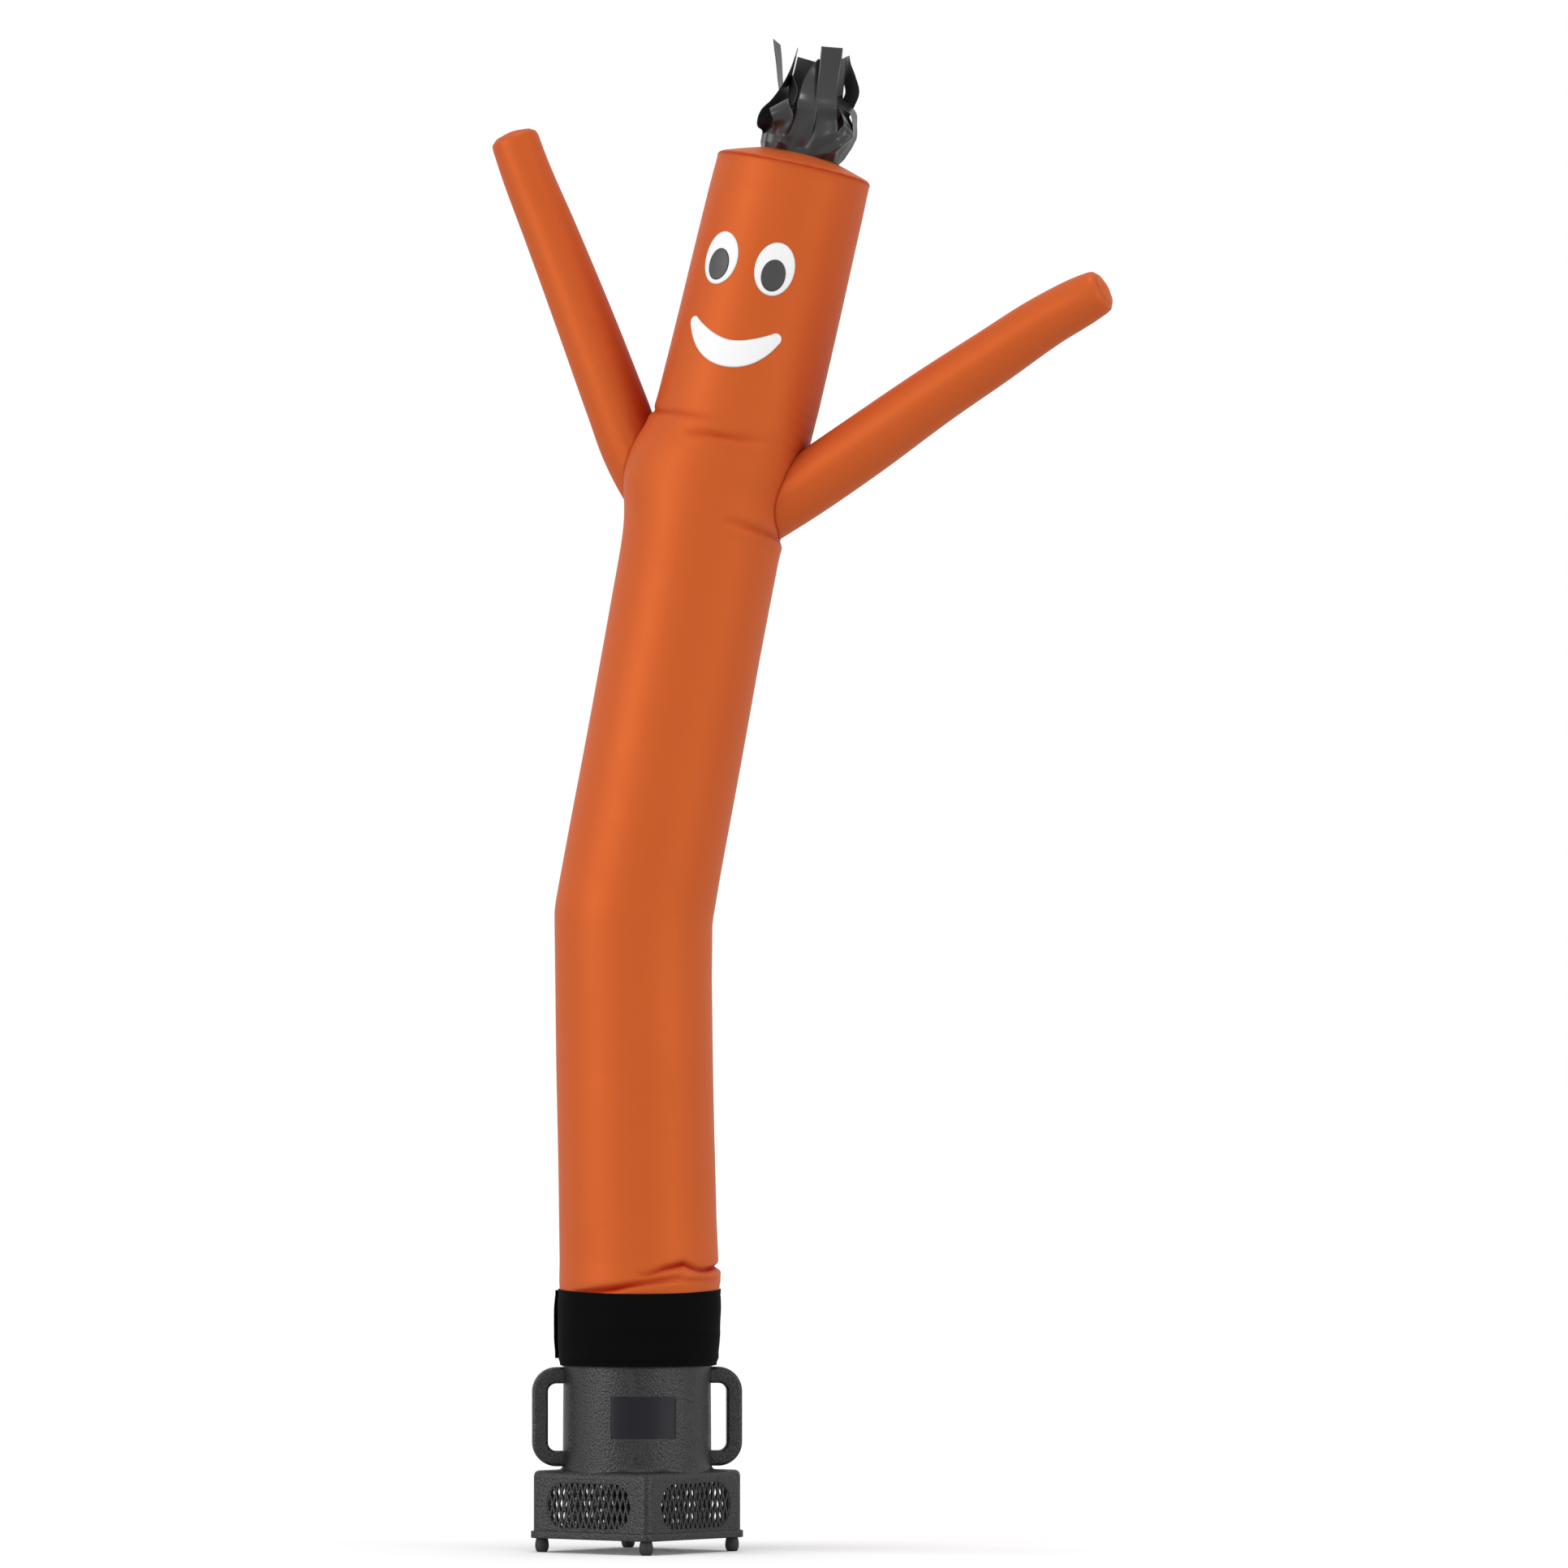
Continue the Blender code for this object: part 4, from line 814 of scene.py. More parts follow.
def smile_mesh():
    """A brush stroke: the line rises as arc^2, its width shrinks to the tips', and its ends are round."""
    reach = SMILE_WIDTH / 2 - SMILE_TIP
    extent = (SMILE_WIDTH / 2) * dense_ends(SMILE_COLUMNS)
    line = np.clip(extent, -reach, reach)
    share = line / reach
    slope = 2 * SMILE_RISE * share / reach
    tangent = np.stack([np.ones_like(slope), slope], -1) / np.hypot(1.0, slope)[:, None]
    half = SMILE_TIP + (SMILE_THICKNESS / 2 - SMILE_TIP) * (1 - np.abs(share) ** SMILE_FULLNESS)
    past = (np.abs(extent) - reach).clip(0) / SMILE_TIP
    half = half * np.sqrt(np.maximum(1 - past**2, 0))
    middle = np.stack([line + SMILE_SHIFT, SMILE_RISE * share**2], -1) + tangent * (
        np.sign(extent) * past * SMILE_TIP)[:, None]
    normal = np.stack([-tangent[:, 1], tangent[:, 0]], -1)
    across = dense_ends(SMILE_ROWS)[:, None]
    flat = middle + across[..., None] * half[:, None] * normal
    inside = half * (1 - np.abs(across))
    out = PATCH - edge_drop(inside)
    top = on_head(flat[..., 0], SMILE_MIDDLE + flat[..., 1], PATCH_LIFT + out)
    under = on_head(flat[..., 0], SMILE_MIDDLE + flat[..., 1], PATCH_LIFT)
    # painted shade along the rounded edge
    edge = np.clip(1 - inside / PATCH_EDGE, 0, 1)
    loop = np.concatenate([under[:1], top, under[-1:], under[::-1]])
    shade = np.concatenate([edge[:1], edge, edge[-1:], 0 * edge])
    return grid_mesh("smile", loop, fold=PATCH_SHADE * shade)


make_piece("smile_patch", smile_mesh(), WHITE_CLOTH, "white_cloth", "mouth")

# %% [markdown]
# ## The hair
# The hair is one strip of black satin, gathered into a ring, sewn to the top disc and slit into twelve
# ribbons. Below the slits neighbours share their edges, and the gathers run up in slanting ridges. Above
# them each ribbon goes its own way. A ribbon has a few stations: where its middle is, facing the figure,
# and how far it is turned about its own length. It is 34 to 45 mm wide everywhere, so where it looks
# thin it is turned away.

# %% Hair tables
HAIR_SEAT = 0.0275              # the band's foot above the head's rim
HAIR_ROOT = np.array([  # angle, height of the slits' foot above the band's
    (-180, 0.050), (-90, 0.031), (-60, 0.031), (0, 0.036), (32, 0.060), (90, 0.062), (180, 0.050)])
HAIR_SHIFT, HAIR_LEAN = 0.006, 0.18     # the band stands a little to the right and leans that way
HAIR_BAND = np.array([(0.000, 0.0815), (0.020, 0.085), (0.042, 0.090), (0.080, 0.093)])
GATHER_RISE, GATHER_GROWTH = 0.060, 0.015
GATHERS = [  # angle at the foot, angle 60 mm up, height, width in degrees
    (-100, -95, 0.005, 9), (-68, -66, 0.006, 8), (-40, -28, 0.011, 7), (-26, -60, 0.005, 6),
    (-8, 0, -0.007, 8), (22, 52, 0.012, 8), (50, 30, 0.004, 7), (84, 90, 0.005, 8), (118, 108, 0.006, 9),
    (150, 158, 0.008, 9), (-172, -178, 0.007, 9), (-138, -130, 0.007, 9),
]
RIBBONS = [  # angle, width, how far the tip's right corner is cut lower, then the stations:
    # right of, behind and above the middle of the head's rim, turn about its length, lean in the picture
    (-165, 0.042, 0.000, [(0.000, 0.066, 0.128, -168, -15), (0.010, 0.054, 0.168, -174, -14),
                          (0.020, 0.046, 0.200, -178, -15), (0.028, 0.040, 0.231, -180, -16)]),
    (-135, 0.040, -0.012, [(-0.040, 0.052, 0.112, -118, -12), (-0.027, 0.045, 0.151, -104, -4),
                           (-0.029, 0.038, 0.192, -106, 4), (-0.032, 0.030, 0.232, -109, 6),
                           (-0.036, 0.026, 0.267, -112, 7)]),
    (-105, 0.042, 0.000, [(-0.065, -0.016, 0.093, -148, 8), (-0.057, -0.017, 0.110, -144, -38),
                         (-0.036, -0.017, 0.134, -134, -42), (-0.019, -0.014, 0.166, -116, -27),
                         (-0.006, -0.008, 0.203, -99, -18), (0.008, 0.000, 0.252, -91, -16)]),
    (-75, 0.040, 0.000, [(-0.022, -0.030, 0.112, -40, -17), (-0.008, -0.036, 0.140, -60, -12),
                         (-0.002, -0.030, 0.162, -62, 2), (-0.004, -0.018, 0.179, -72, 9),
                         (-0.006, -0.010, 0.195, -84, 9)]),
    (-45, 0.044, 0.000, [(-0.023, -0.096, 0.104, -12, 18), (-0.029, -0.096, 0.122, -6, 27),
                         (-0.031, -0.082, 0.133, -4, 29), (-0.029, -0.062, 0.133, -4, 29),
                         (-0.025, -0.046, 0.122, -4, 27), (-0.022, -0.038, 0.110, -4, 24)]),
    (-15, 0.044, 0.000, [(0.024, -0.084, 0.110, -2, -8), (0.028, -0.084, 0.129, 2, -12),
                        (0.034, -0.066, 0.154, 6, -14), (0.042, -0.052, 0.178, 12, -19),
                        (0.054, -0.042, 0.202, 24, -25), (0.066, -0.036, 0.219, 38, -28)]),
    (15, 0.045, -0.001, [(0.065, -0.078, 0.104, 6, -2), (0.066, -0.084, 0.122, 0, -4),
                         (0.067, -0.072, 0.146, 0, -5), (0.070, -0.062, 0.171, 0, -7),
                         (0.074, -0.056, 0.204, 0, -6), (0.079, -0.054, 0.251, 0, -6)]),
    (45, 0.034, 0.000, [(0.107, -0.046, 0.098, 76, 6), (0.101, -0.044, 0.112, 82, 25),
                        (0.094, -0.042, 0.126, 82, 23), (0.089, -0.038, 0.138, 78, 19)]),
    (75, 0.042, 0.000, [(0.126, -0.014, 0.096, 76, -9), (0.124, -0.008, 0.114, 72, 24),
                        (0.110, 0.000, 0.130, 68, 43), (0.098, 0.008, 0.142, 70, 38),
                        (0.092, 0.014, 0.154, 78, 22)]),
    (105, 0.036, 0.000, [(0.113, 0.016, 0.102, 104, 25), (0.105, 0.016, 0.117, 102, 26),
                         (0.098, 0.018, 0.134, 98, 23)]),
    (135, 0.042, 0.000, [(0.102, 0.046, 0.118, 136, -12), (0.112, 0.040, 0.138, 134, -24),
                         (0.121, 0.032, 0.160, 134, -4), (0.115, 0.028, 0.193, 127, 12),
                         (0.110, 0.024, 0.220, 112, 13), (0.110, 0.022, 0.236, 104, 12)]),
    (165, 0.042, 0.003, [(0.084, 0.056, 0.124, 136, -12), (0.090, 0.040, 0.168, 128, -12),
                         (0.096, 0.030, 0.201, 122, -8), (0.100, 0.024, 0.232, 118, -5)]),
]
BAND_ROWS, RIBBON_ROWS, RIBBON_COLUMNS, SATIN_WALL = 24, 64, 15, 0.0006
RIBBON_CUP, MELT_RATE, TIP_START, BAND_SHADE = 0.07, 3.4, 11, 0.15
across = np.array([math.cos(lean), 0.0, -math.sin(lean)])
AWAY = -to_camera


def band_points(sector, share):
    """The gathered band: sector angles in degrees, and a share of the way up to the slits."""
    root = np.interp(wrapped(sector), *HAIR_ROOT.T)
    height = root * share
    radius = np.interp(height, *HAIR_BAND.T)
    for foot, top, amount, width in GATHERS:
        off = wrapped(sector - foot - (top - foot) * height / GATHER_RISE)
        radius = radius + amount * bell(off, width) * np.clip(height / GATHER_GROWTH, 0.2, 1)
    turned = np.radians(sector)
    return (head_centre + (radius * np.sin(turned) + HAIR_SHIFT + HAIR_LEAN * height)[..., None] * across
            + (radius * -np.cos(turned))[..., None] * np.array([0.0, 1.0, 0.0])
            + (HAIR_SEAT + height)[..., None] * head_direction)


print("streamers:", len(RIBBONS), "and gathers:", len(GATHERS))

# %% Hair
def ribbon_points(angle, width, tip_cut, stations):
    """Rows up one ribbon: out of the gathered band, then across its stations' middle line by its width."""
    side = np.linspace(-1.0, 1.0, RIBBON_COLUMNS)
    sector = angle + 180.0 / len(RIBBONS) * side
    band = band_points(sector, np.linspace(0.0, 1.0, BAND_ROWS)[:, None])
    roots = band[[BAND_ROWS // 2, -1], RIBBON_COLUMNS // 2] - head_centre
    start = [[root @ to_right, root @ AWAY, root @ UP, angle, -math.degrees(lean)] for root in roots]
    right, behind, above, turned, leans = smooth_rows(np.array(start + stations), RIBBON_ROWS, 3, 1).T
    turned, leans = np.radians(turned)[:, None], np.radians(leans)[:, None]
    share = np.linspace(0.0, 1.0, RIBBON_ROWS)[:, None]
    reach = width / 2 * side
    cup = RIBBON_CUP * width * (side**2 - 0.4) * np.sin(math.pi * share)
    middle = (head_centre + right[:, None] * to_right + behind[:, None] * AWAY + above[:, None] * UP)
    free = (middle[:, None] + (reach * np.cos(turned) * np.cos(leans))[..., None] * to_right
            + (reach * np.cos(turned) * np.sin(leans))[..., None] * UP
            + (reach * np.sin(turned) + cup * np.cos(turned))[..., None] * AWAY)
    free = free - (tip_cut / 2 * side * np.clip((TIP_START + 1) * share - TIP_START, 0, 1))[..., None] * UP
    melt = ease(np.clip(share * MELT_RATE, 0, 1)[..., None])
    seam = band[-1] + (middle - middle[0])[:, None]
    return np.concatenate([band[:-1], seam * (1 - melt) + free * melt])


hair_points = np.array([ribbon_points(*row) for row in RIBBONS])
gathered = np.clip(1.0 - np.arange(hair_points.shape[1]) / BAND_ROWS, 0.0, 1.0)[None, :, None]
hair_mesh = grid_mesh("hair", hair_points, fold=BAND_SHADE * gathered)    # shade is painted on the band, darkest at its foot
hair = make_piece("satin_hair", hair_mesh, SATIN, "black_satin", "hair", wall=SATIN_WALL)

# %% [markdown]
# ## The sleeve
# A black sleeve is sewn round the tube's foot, pulled over the blower's outlet and gripped by the hook
# tape there. Its lower hem is drawn in under the collar, its upper hem is stitched, and its closing flap
# stands off a little at the left. Brushed cloth this dark shows only slow, shallow wrinkles.

# %% Sleeve and flap
CUFF_PROFILE = np.array([  # height, radius, offset along X
    (0.3860, 0.1622, 0.0025), (0.3925, 0.1628, 0.0025), (0.4000, 0.1662, 0.0028),
    (0.4700, 0.1692, 0.0042), (0.5430, 0.1687, 0.0050)])
CUFF_CLOTH, CUFF_ROWS, CUFF_COLUMNS = 0.0020, 60, 180
CUFF_DIP = 0.0060               # the upper hem sags a little at the front
CUFF_WAVES, CUFF_RIDGE, RIDGE_HEIGHT, RIDGE_SWAY, RIDGE_REACH = 0.0011, 0.0016, 0.462, 0.012, 0.007
CUFF_GATHERS, GATHER_DEPTH, GATHER_HEIGHT, GATHER_REACH = 31, 0.0007, 0.402, 0.008
STITCH_DEPTH, STITCH_HEIGHT, STITCH_REACH = 0.0007, 0.531, 0.0016
CALM_LOW, CALM_HIGH = 0.393, 0.544      # the wrinkles end here
FLAP_CLOTH, FLAP_COLUMNS, FLAP_LINES = 0.0016, 26, 40
FLAP_ROWS = np.array([(0.3990, 0.75), (0.4200, 0.85), (0.4700, 1.0), (0.5400, 0.6)])
FLAP_SEWN, FLAP_FREE, FLAP_SEAT, FLAP_STANDOFF = -150.0, -101.0, 0.0026, 0.0065


def cuff_point(angle, height, lift=0.0):
    """A point of the sleeve: its profile's radius with slow slanting wrinkles and two hems."""
    turned = np.radians(angle)
    wrinkle = CUFF_WAVES * np.sin(3 * turned + 40 * height) * np.sin(5 * turned - 55 * height + 1.0)
    from_ridge = height - RIDGE_HEIGHT + RIDGE_SWAY * np.sin(turned - 0.4)
    wrinkle = wrinkle + CUFF_RIDGE * bell(from_ridge, RIDGE_REACH) * (
        fade_window(np.degrees(turned), 20.0, 70.0, 20.0))
    gathers = GATHER_DEPTH * np.sin(CUFF_GATHERS * turned) * bell(height - GATHER_HEIGHT, GATHER_REACH)
    stitched = -STITCH_DEPTH * bell(height - STITCH_HEIGHT, STITCH_REACH)
    calm = np.clip((height - CALM_LOW) / 0.02, 0, 1) * np.clip((CALM_HIGH - height) / 0.01, 0.2, 1)
    radius = np.interp(height, CUFF_PROFILE[:, 0], CUFF_PROFILE[:, 1]) + lift
    shift = np.interp(height, CUFF_PROFILE[:, 0], CUFF_PROFILE[:, 2])
    points = around(angle, radius + (wrinkle + gathers) * calm + stitched, height)
    points[..., 0] += shift
    return points


cuff_angles = full_turn(CUFF_COLUMNS) - 180.0
cuff_top = CUFF_PROFILE[-1, 0] - CUFF_DIP * np.clip(np.cos(np.radians(cuff_angles + 4.0)), 0, 1) ** 1.5
cuff_heights = np.linspace(CUFF_PROFILE[0, 0], cuff_top, CUFF_ROWS)
cuff = make_piece("sleeve", grid_mesh("sleeve", cuff_point(cuff_angles, cuff_heights), ring=True),
                  SLEEVE_CLOTH, "sleeve_cloth", "cuff", wall=CUFF_CLOTH)

flap_angles = np.linspace(FLAP_SEWN, FLAP_FREE, FLAP_COLUMNS)
flap_heights = np.linspace(FLAP_ROWS[0, 0], FLAP_ROWS[-1, 0], FLAP_LINES)[:, None]
standing = FLAP_STANDOFF * np.interp(flap_heights, *FLAP_ROWS.T) * np.linspace(0.0, 1.0, FLAP_COLUMNS) ** 3
flap_points = cuff_point(flap_angles, flap_heights, FLAP_SEAT + standing)
flap = make_piece("sleeve_flap", grid_mesh("flap", flap_points), SLEEVE_CLOTH, "sleeve_cloth",
                  "cuff_flap", wall=FLAP_CLOTH)

# %% [markdown]
# ## The blower's housing
# One moulding makes the box, the shoulder and the round duct. Its outline at each height is a rounded
# square that shrinks inwards, cut off at a largest radius and never smaller than the duct. A soft
# minimum and maximum round the places where these meet, like the generous radii of a real mould.

# %% Housing
DUCT_RADIUS, HOUSING_WALL = 0.1525, 0.0040
BOX_HALF, BOX_CORNER, BOX_BOTTOM = 0.1565, 0.0165, 0.0445
SHOULDER = np.array([  # height, inset of the box outline, largest radius, share of even spacing
    (BOX_BOTTOM, 0.0, 0.300, 0.0), (0.1500, 0.0, 0.300, 0.0), (0.1570, 0.0, 0.300, 0.0),
    (0.1640, 0.0020, 0.290, 0.0), (0.1680, 0.0070, 0.270, 0.0), (0.1690, 0.0140, 0.1650, 0.3),
    (0.1706, 0.0200, 0.1590, 0.6), (0.1745, 0.0260, 0.1550, 0.9), (0.1820, 0.0400, DUCT_RADIUS, 1.0),
    (0.2200, 0.0400, DUCT_RADIUS, 1.0)])
DUCT_ROWS = [  # height, radius: the collar and the top rim stand out from the duct
    (0.3830, 0.1525), (0.3840, 0.1562), (0.3850, 0.1570), (0.3940, 0.1570), (0.3950, 0.1562),
    (0.3960, 0.1525), (0.4380, 0.1525), (0.4390, 0.1582), (0.4400, 0.1590), (0.4490, 0.1590),
    (0.4500, 0.1580)]
SOFTNESS, SHOULDER_ROWS, SMOOTHINGS, SHOULDER_FOOT = 0.0022, 64, 4, 0.155


def soft_max(a, b):
    """The larger of two, rounded where they cross: their mean plus half a softened difference."""
    return (a + b + np.sqrt((a - b) ** 2 + SOFTNESS**2)) / 2


def square_radius(angle, half, corner):
    """Distance from the axis to a rounded square with its corners at the front, back and sides."""
    off = np.abs((np.asarray(angle) + 45.0) % 90.0 - 45.0)
    centre = (half - corner) * math.sqrt(2)
    arc_end = 45.0 - math.degrees(math.atan2(half - corner, half))
    turned = np.radians(off)
    on_arc = centre * np.cos(turned) + np.sqrt(np.maximum(corner**2 - (centre * np.sin(turned)) ** 2, 0))
    return np.where(off < arc_end, on_arc, half / np.cos(np.radians(45.0 - off)))


def crowded_angles(half, corner, round_steps=6, flat_steps=26):
    """Angles round the square, close together at its four corners."""
    arc_end = 45.0 - math.degrees(math.atan2(half - corner, half))
    quarter = np.concatenate([np.linspace(0.0, arc_end, round_steps, endpoint=False),
                              np.linspace(arc_end, 90.0 - arc_end, flat_steps, endpoint=False),
                              np.linspace(90.0 - arc_end, 90.0, round_steps, endpoint=False)])
    return (quarter + 90.0 * np.arange(4)[:, None]).ravel()


crowded = crowded_angles(BOX_HALF, BOX_CORNER)
even = full_turn(len(crowded))
place = np.linspace(0, len(SHOULDER) - 1, SHOULDER_ROWS)
rows = np.array([np.interp(place, np.arange(len(SHOULDER)), column) for column in SHOULDER.T])
kernel = np.array([0.25, 0.5, 0.25])
for _ in range(SMOOTHINGS):
    rows[:, 1:-1] = np.array([np.convolve(column, kernel, "valid") for column in rows])
row_height, inset, largest, share = rows[:, :, None]
shoulder_angles = crowded * (1 - share) + even * share
outline = square_radius(shoulder_angles, BOX_HALF, BOX_CORNER) - inset
outline = -soft_max(-outline, -largest)
shoulder_radius = np.where(row_height < SHOULDER_FOOT, outline, soft_max(outline, DUCT_RADIUS))
shoulder_points = around(shoulder_angles, shoulder_radius, row_height)
duct_points = np.array([around(even, radius, height) for height, radius in DUCT_ROWS])
housing_points = np.concatenate([shoulder_points, duct_points])
print("housing grid:", housing_points.shape[:2])

# %% [markdown]
# Four windows are cut through the box. A Boolean modifier does this best: the cutter is a prism with the
# window's rounded outline, and the same outline, a hair smaller, makes the lattice that fits it.

# %% Windows
WINDOW_WIDTH, WINDOW_HEIGHT, WINDOW_CORNER, WINDOW_MIDDLE = 0.2260, 0.0970, 0.0460, 0.0985
FIT, CUTTER_REACH = 0.0003, 0.015


def rounded_outline(half_width, half_height, corner, steps=12):
    """Points round a rectangle with quarter-circle corners, anticlockwise."""
    turns = np.radians(np.linspace(0.0, 90.0, steps) + 90.0 * np.arange(4)[:, None])
    middle = np.array([(1, 1), (-1, 1), (-1, -1), (1, -1)]) * (half_width - corner, half_height - corner)
    return (middle[:, None] + corner * np.stack([np.cos(turns), np.sin(turns)], -1)).reshape(-1, 2)


def prism(name, outlines, low, high):
    """Closed prisms over outlines[piece, point, xy], from one depth to another along local Z."""
    outlines = np.asarray(outlines, float)
    count, corners = outlines.shape[:2]
    levels = [np.concatenate([outlines, np.full((count, corners, 1), z)], -1) for z in (low, high)]
    points = np.stack(levels, 1).reshape(-1, 3)
    here = np.arange(corners)
    after = (here + 1) % corners
    sides = np.stack([here, after, after + corners, here + corners], -1)
    first = 2 * corners * np.arange(count)[:, None, None]
    faces = (sides + first).reshape(-1, 4).tolist()
    faces += (here[::-1] + first[:, 0]).tolist() + (here + corners + first[:, 0]).tolist()
    mesh = bpy.data.meshes.new(name)
    mesh.from_pydata(points.tolist(), [], faces)
    return mesh


def stood_up(points, angle, distance):
    """Turn flat local points (across, up, out) upright on the box's side at an angle and distance."""
    turned = math.radians(angle)
    beside = np.array([math.cos(turned), math.sin(turned), 0.0])
    out = np.array([math.sin(turned), -math.cos(turned), 0.0])
    return (AXIS + [0, 0, WINDOW_MIDDLE] + points[:, :1] * beside + points[:, 1:2] * UP
            + (points[:, 2:] + distance) * out)


def moved_mesh(mesh, change):
    """A copy of a mesh with its points put through a function of their array."""
    copy = mesh.copy()
    points = np.empty(len(copy.vertices) * 3)
    copy.vertices.foreach_get("co", points)
    copy.vertices.foreach_set("co", change(points.reshape(-1, 3)).ravel())
    copy.update()
    return copy


def boolean(mesh, steps, wall=0.0):
    """The mesh with an optional wall, after exact Booleans with other meshes."""
    scratch = [in_scene("scratch", m) for m in [mesh] + [other for other, _ in steps]]
    if wall:
        thicken(scratch[0], wall)
    for tool, (_, operation) in zip(scratch[1:], steps):
        cut = scratch[0].modifiers.new("Cut", "BOOLEAN")
        cut.operation = operation
        cut.object = tool
        cut.solver = "EXACT"
    done = scratch[0].evaluated_get(bpy.context.evaluated_depsgraph_get())
    result = bpy.data.meshes.new_from_object(done)
    for obj in scratch:
        bpy.data.objects.remove(obj)
    return result


def crisp(mesh, degrees):
    """Keep the edges sharp where faces meet at more than this angle."""
    mesh.set_sharp_from_angle(angle=math.radians(degrees))
    return mesh


SIDE_ANGLES = {"front_right": 45, "back_right": 135, "back_left": 225, "front_left": 315}
window = rounded_outline(WINDOW_WIDTH / 2, WINDOW_HEIGHT / 2, WINDOW_CORNER)
cutter = prism("window", [window], -CUTTER_REACH, CUTTER_REACH)
cuts = [(moved_mesh(cutter, lambda p, a=angle: stood_up(p, a, BOX_HALF)), "DIFFERENCE")
        for angle in SIDE_ANGLES.values()]
housing_mesh = boolean(grid_mesh("housing", housing_points, ring=True), cuts, HOUSING_WALL)
housing_mesh.shade_smooth()
make_piece("blower_housing", crisp(housing_mesh, 38.0), PLASTIC, "moulded_plastic", "housing")

# %% [markdown]
# The lattice is moulded in long diamonds, 15 by 48.5 mm, between 4 mm bars. Many little prisms, one for
# each diamond, are trimmed to the window's inside and then cut from a plate all at once.

# %% Lattices
MESH_WIDTH, MESH_HEIGHT, BAR_WIDTH = 0.01507, 0.0485, 0.0040
GRILLE_THICKNESS, GRILLE_RECESS, GRILLE_RIM = 0.0044, 0.0010, 0.0022
DIAMOND_REACH, INNER_REACH, BAR_ROUND = 0.004, 0.006, 0.0005
LATTICE_COLUMNS, LATTICE_LINES = 17, 3          # half diamonds to each side of the middle one

half_mesh = np.array([MESH_WIDTH, MESH_HEIGHT]) / 2
to_bar = half_mesh.prod() / np.hypot(*half_mesh)
open_share = 1 - BAR_WIDTH / 2 / to_bar
columns, lines = np.meshgrid(np.arange(-LATTICE_COLUMNS, LATTICE_COLUMNS + 1),
                             np.arange(-LATTICE_LINES, LATTICE_LINES + 1))
centres = np.stack([columns, lines], -1)[(columns + lines) % 2 == 0] * half_mesh
diamonds = centres[:, None] + np.array([(1, 0), (0, 1), (-1, 0), (0, -1)]) * half_mesh * open_share
plate_mesh = prism("plate", [rounded_outline(WINDOW_WIDTH / 2 - FIT, WINDOW_HEIGHT / 2 - FIT,
                                             WINDOW_CORNER - FIT)],
                   -GRILLE_THICKNESS / 2, GRILLE_THICKNESS / 2)
inner = rounded_outline(WINDOW_WIDTH / 2 - GRILLE_RIM, WINDOW_HEIGHT / 2 - GRILLE_RIM,
                        WINDOW_CORNER - GRILLE_RIM)
holes = boolean(prism("diamonds", diamonds, -DIAMOND_REACH, DIAMOND_REACH),
                [(prism("inside", [inner], -INNER_REACH, INNER_REACH), "INTERSECT")])
lattice = crisp(boolean(plate_mesh, [(holes, "DIFFERENCE")]), 30.0)
middle = BOX_HALF - GRILLE_RECESS - GRILLE_THICKNESS / 2
for name, angle in SIDE_ANGLES.items():
    mesh = moved_mesh(lattice, lambda p, a=angle: stood_up(p, a, middle))
    piece = make_piece("lattice_" + name, mesh, PLASTIC, "moulded_plastic", "grille_" + name)
    bevel = piece.modifiers.new("Rounded bars", "BEVEL")
    bevel.width = BAR_ROUND
    bevel.segments = 1
    bevel.limit_method = "ANGLE"
    bevel.angle_limit = math.radians(60.0)
print("diamonds:", len(diamonds))

# %% [markdown]
# ## Tray, feet and handles
# The tray is a square ring with rounded edges: a small profile carried round two outlines. A foot is a
# turned rubber bung, widest at its waist. A handle is a rounded bar, swept round two bends, whose ends
# are laid onto the round duct by setting their depth from the circle's formula.

# %% Tray
TRAY_BOTTOM, TRAY_TOP, TRAY_ROUND = 0.0289, 0.0442, 0.0022
TRAY_HALF, TRAY_CORNER, TRAY_OPEN_HALF, TRAY_OPEN_CORNER = 0.1610, 0.0175, 0.1460, 0.0550

tray_angles = crowded_angles(TRAY_HALF, TRAY_CORNER, 8, 22)
outer = square_radius(tray_angles, TRAY_HALF, TRAY_CORNER)
opening = square_radius(tray_angles, TRAY_OPEN_HALF, TRAY_OPEN_CORNER)
bends = np.radians(np.linspace(0.0, 90.0, 5))
edge_in, edge_down = TRAY_ROUND * (1 - np.cos(bends)), TRAY_ROUND * (1 - np.sin(bends))
below = [around(tray_angles, outer - i, TRAY_BOTTOM + d) for i, d in zip(edge_in[::-1], edge_down[::-1])]
above = [around(tray_angles, outer - i, TRAY_TOP - d) for i, d in zip(edge_in, edge_down)]
inside = [around(tray_angles, opening, height) for height in (TRAY_TOP, TRAY_BOTTOM)]
tray_mesh = crisp(grid_mesh("tray", np.array(below + above + inside + below[:1]), ring=True), 50.0)
make_piece("blower_tray", tray_mesh, PLASTIC, "moulded_plastic", "base_tray")

# %% Feet
FOOT_PROFILE = np.array([  # radius, height, from the floor up and in over the top
    (0.0000, 0.0000), (0.0092, 0.0000), (0.0103, 0.0007), (0.0120, 0.0030), (0.0134, 0.0065),
    (0.0142, 0.0110), (0.0144, 0.0150), (0.0139, 0.0200), (0.0129, 0.0250), (0.0121, 0.0282),
    (0.0116, 0.0286), (0.0000, 0.0286)])
FOOT_REACH, FOOT_COLUMNS = 0.1975, 48

for name, angle in (("front", 0), ("right", 90), ("back", 180), ("left", 270)):
    ring = around(full_turn(FOOT_COLUMNS), FOOT_PROFILE[:, :1], FOOT_PROFILE[:, 1:])
    foot_mesh = crisp(grid_mesh("foot", ring - AXIS + around(angle, FOOT_REACH, 0.0), ring=True), 55.0)
    make_piece("rubber_foot_" + name, foot_mesh, RUBBER, "foot_rubber", "foot_" + name)

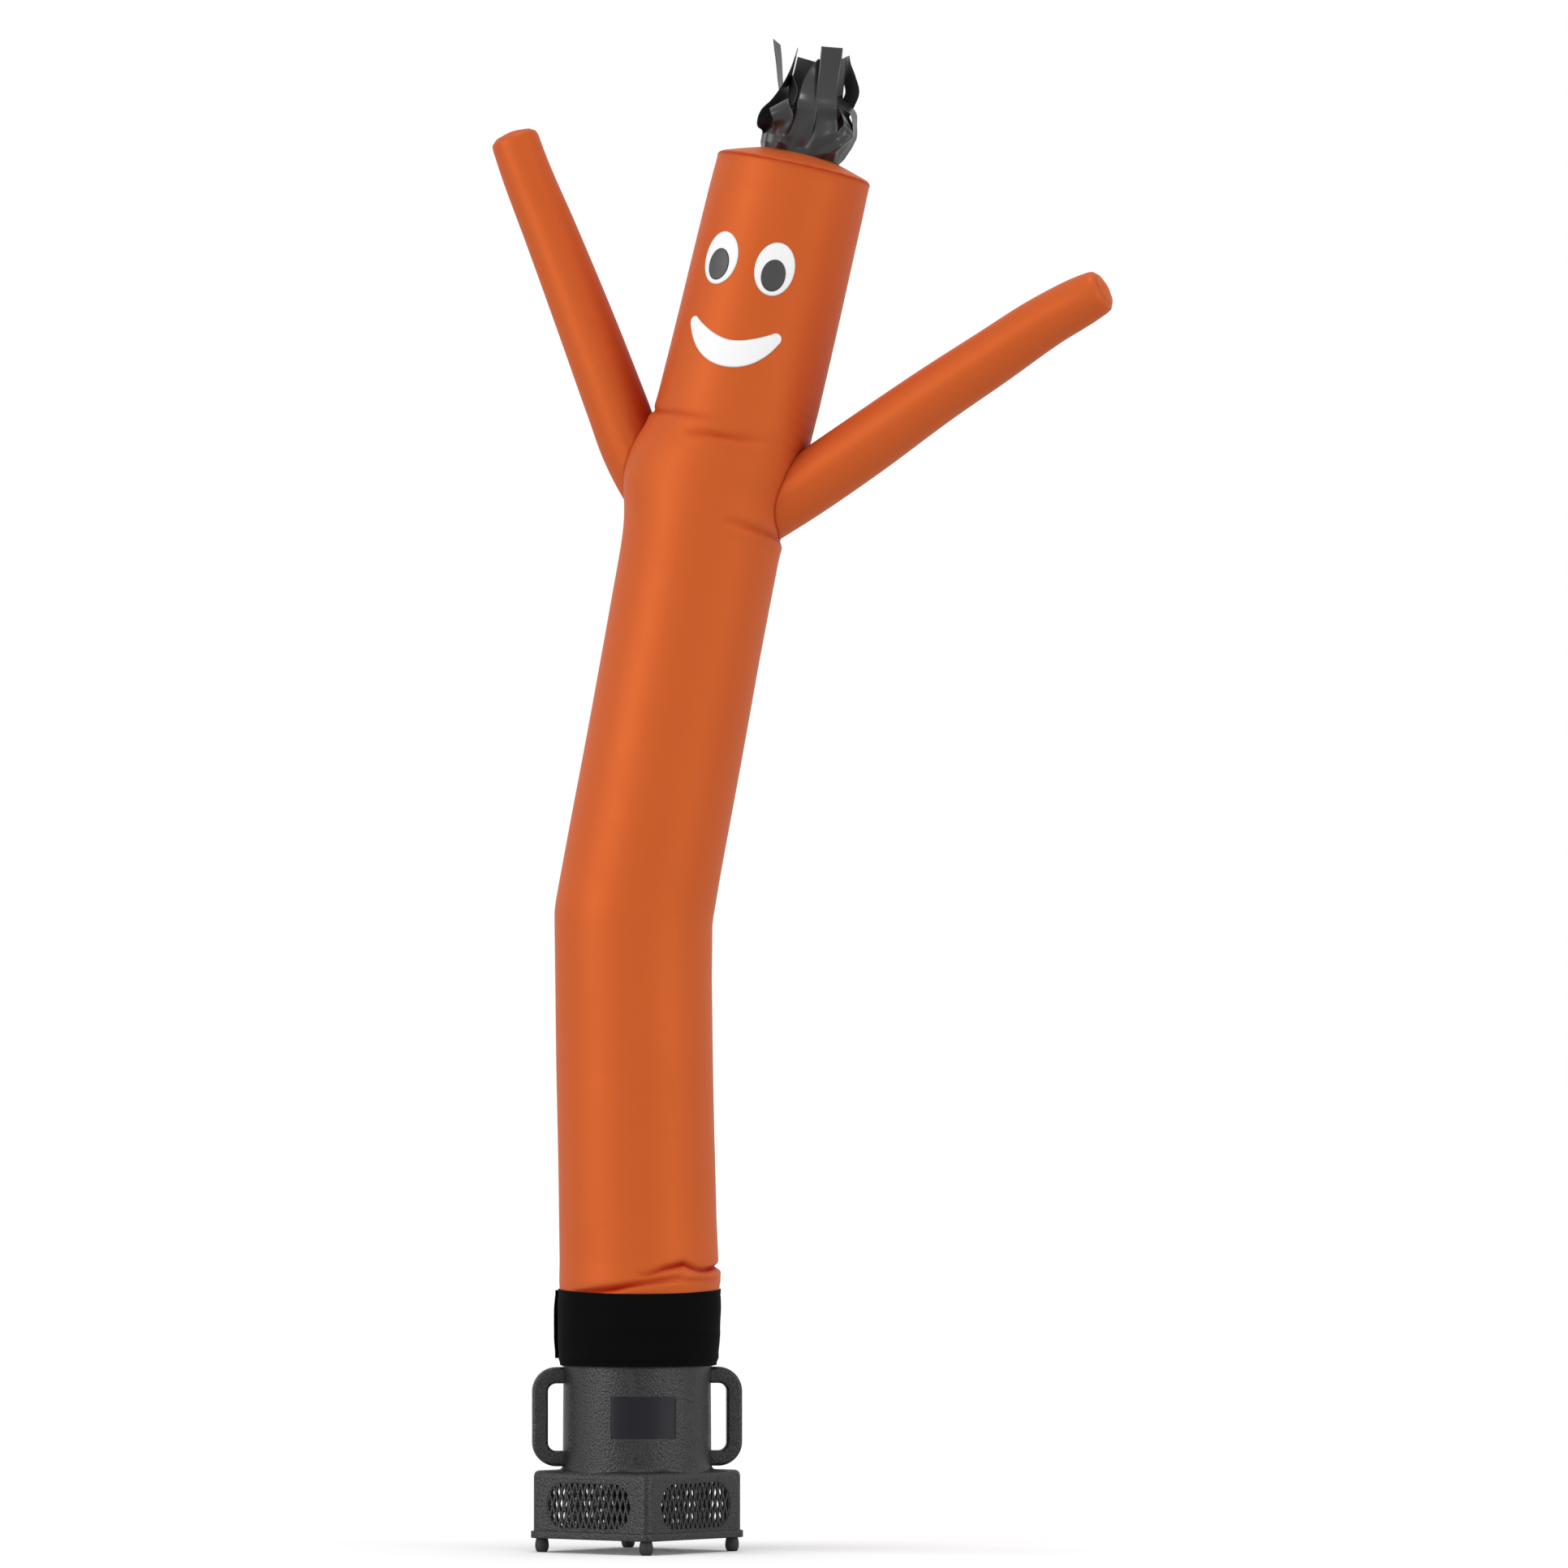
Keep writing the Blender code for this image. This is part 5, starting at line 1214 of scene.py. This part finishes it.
# %% Handles
HANDLE_OUT, HANDLE_IN, HANDLE_LOW, HANDLE_HIGH = 0.2180, 0.1855, 0.1770, 0.3820
GRIP_LOW, GRIP_HIGH, HANDLE_DEPTH, HANDLE_ROUND = 0.2090, 0.3480, 0.0320, 0.0070
BAR_LOW, BAR_HIGH = GRIP_LOW - HANDLE_LOW, HANDLE_HIGH - GRIP_HIGH    # how thick each bar is
BEND_RADIUS, BAR_SUNK, GROWTH = 0.0335, 0.010, 0.02
BAR_STEPS, BEND_STEPS = 8, 14


def handle_points(side):
    """A rounded bar swept along an upright U; its two ends lie on the duct at x = sqrt(R^2 - y^2)."""
    centre_out = (HANDLE_OUT + HANDLE_IN) / 2
    low, high = (HANDLE_LOW + GRIP_LOW) / 2, (HANDLE_HIGH + GRIP_HIGH) / 2
    bend = np.radians(np.linspace(0.0, 90.0, BEND_STEPS))
    corner = np.array([centre_out - BEND_RADIUS, low + BEND_RADIUS])
    lower = corner + BEND_RADIUS * np.stack([np.sin(bend), -np.cos(bend)], -1)
    upper = lower[::-1] * [1, -1] + [0, low + high]
    start = np.linspace((DUCT_RADIUS - BAR_SUNK, low), lower[0], BAR_STEPS, endpoint=False)
    finish = start[::-1] * [1, -1] + [0, low + high]
    line = np.concatenate([start, lower, upper, finish])
    direction = unit(np.gradient(line, axis=0))
    normal = np.stack([direction[:, 1], -direction[:, 0]], -1)
    grows = np.clip((line[:, 1] - GRIP_HIGH) / GROWTH, 0, 1)
    thick = BAR_LOW * (1 - grows) + BAR_HIGH * grows
    section = rounded_outline(BAR_LOW / 2, HANDLE_DEPTH / 2, HANDLE_ROUND, 6)
    across = section[:, 0] * (thick / BAR_LOW)[:, None]
    flat = line[:, None] + across[..., None] * normal[:, None]
    depth = np.broadcast_to(section[:, 1], across.shape)
    seat = np.sqrt((DUCT_RADIUS + FIT) ** 2 - depth**2)
    points = np.stack([np.maximum(flat[..., 0], seat), depth, flat[..., 1]], -1)
    return AXIS + points * [side, side, 1]


for name, side in (("right", 1), ("left", -1)):
    bar = handle_points(side)
    ends = [row.mean(axis=0, keepdims=True) + 0 * row for row in (bar[0], bar[-1])]
    handle_mesh = grid_mesh("handle", np.concatenate([[ends[0]], bar, [ends[1]]])[:, ::-1], ring=True)
    make_piece("blower_handle_" + name, crisp(handle_mesh, 60.0), PLASTIC, "moulded_plastic",
               "handle_" + name)

# %% [markdown]
# ## Plate and hook band
# The duct carries a thin laminated plate with rounded corners. It is left bare. The hook band already has
# the right shape, so it keeps its solid and only takes a better finish.

# %% Plate
PLATE_WIDTH, PLATE_LOW, PLATE_HIGH, PLATE_CORNER = 0.1400, 0.2380, 0.3250, 0.0050
PLATE_THICK, PLATE_SEAT, PLATE_ROWS, PLATE_COLUMNS = 0.0010, 0.0005, 41, 33
plate_half, plate_tall = PLATE_WIDTH / 2, (PLATE_HIGH - PLATE_LOW) / 2
plate_middle = (PLATE_LOW + PLATE_HIGH) / 2
plate_up = dense_ends(PLATE_ROWS) * plate_tall
past = np.maximum(np.abs(plate_up) - (plate_tall - PLATE_CORNER), 0)
reach = plate_half - PLATE_CORNER + np.sqrt(np.maximum(PLATE_CORNER**2 - past**2, 0))
plate_arc = reach[:, None] * np.linspace(-1.0, 1.0, PLATE_COLUMNS)
front = DUCT_RADIUS + PLATE_SEAT + PLATE_THICK
plate_points = around(np.degrees(plate_arc / front), front, plate_middle + plate_up[:, None])
make_piece("plate", grid_mesh("plate", plate_points), FILM, "plate_film", "label_plate", wall=PLATE_THICK)

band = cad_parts["hook_band"]
band.data.materials.clear()
band.data.materials.append(HOOKS)
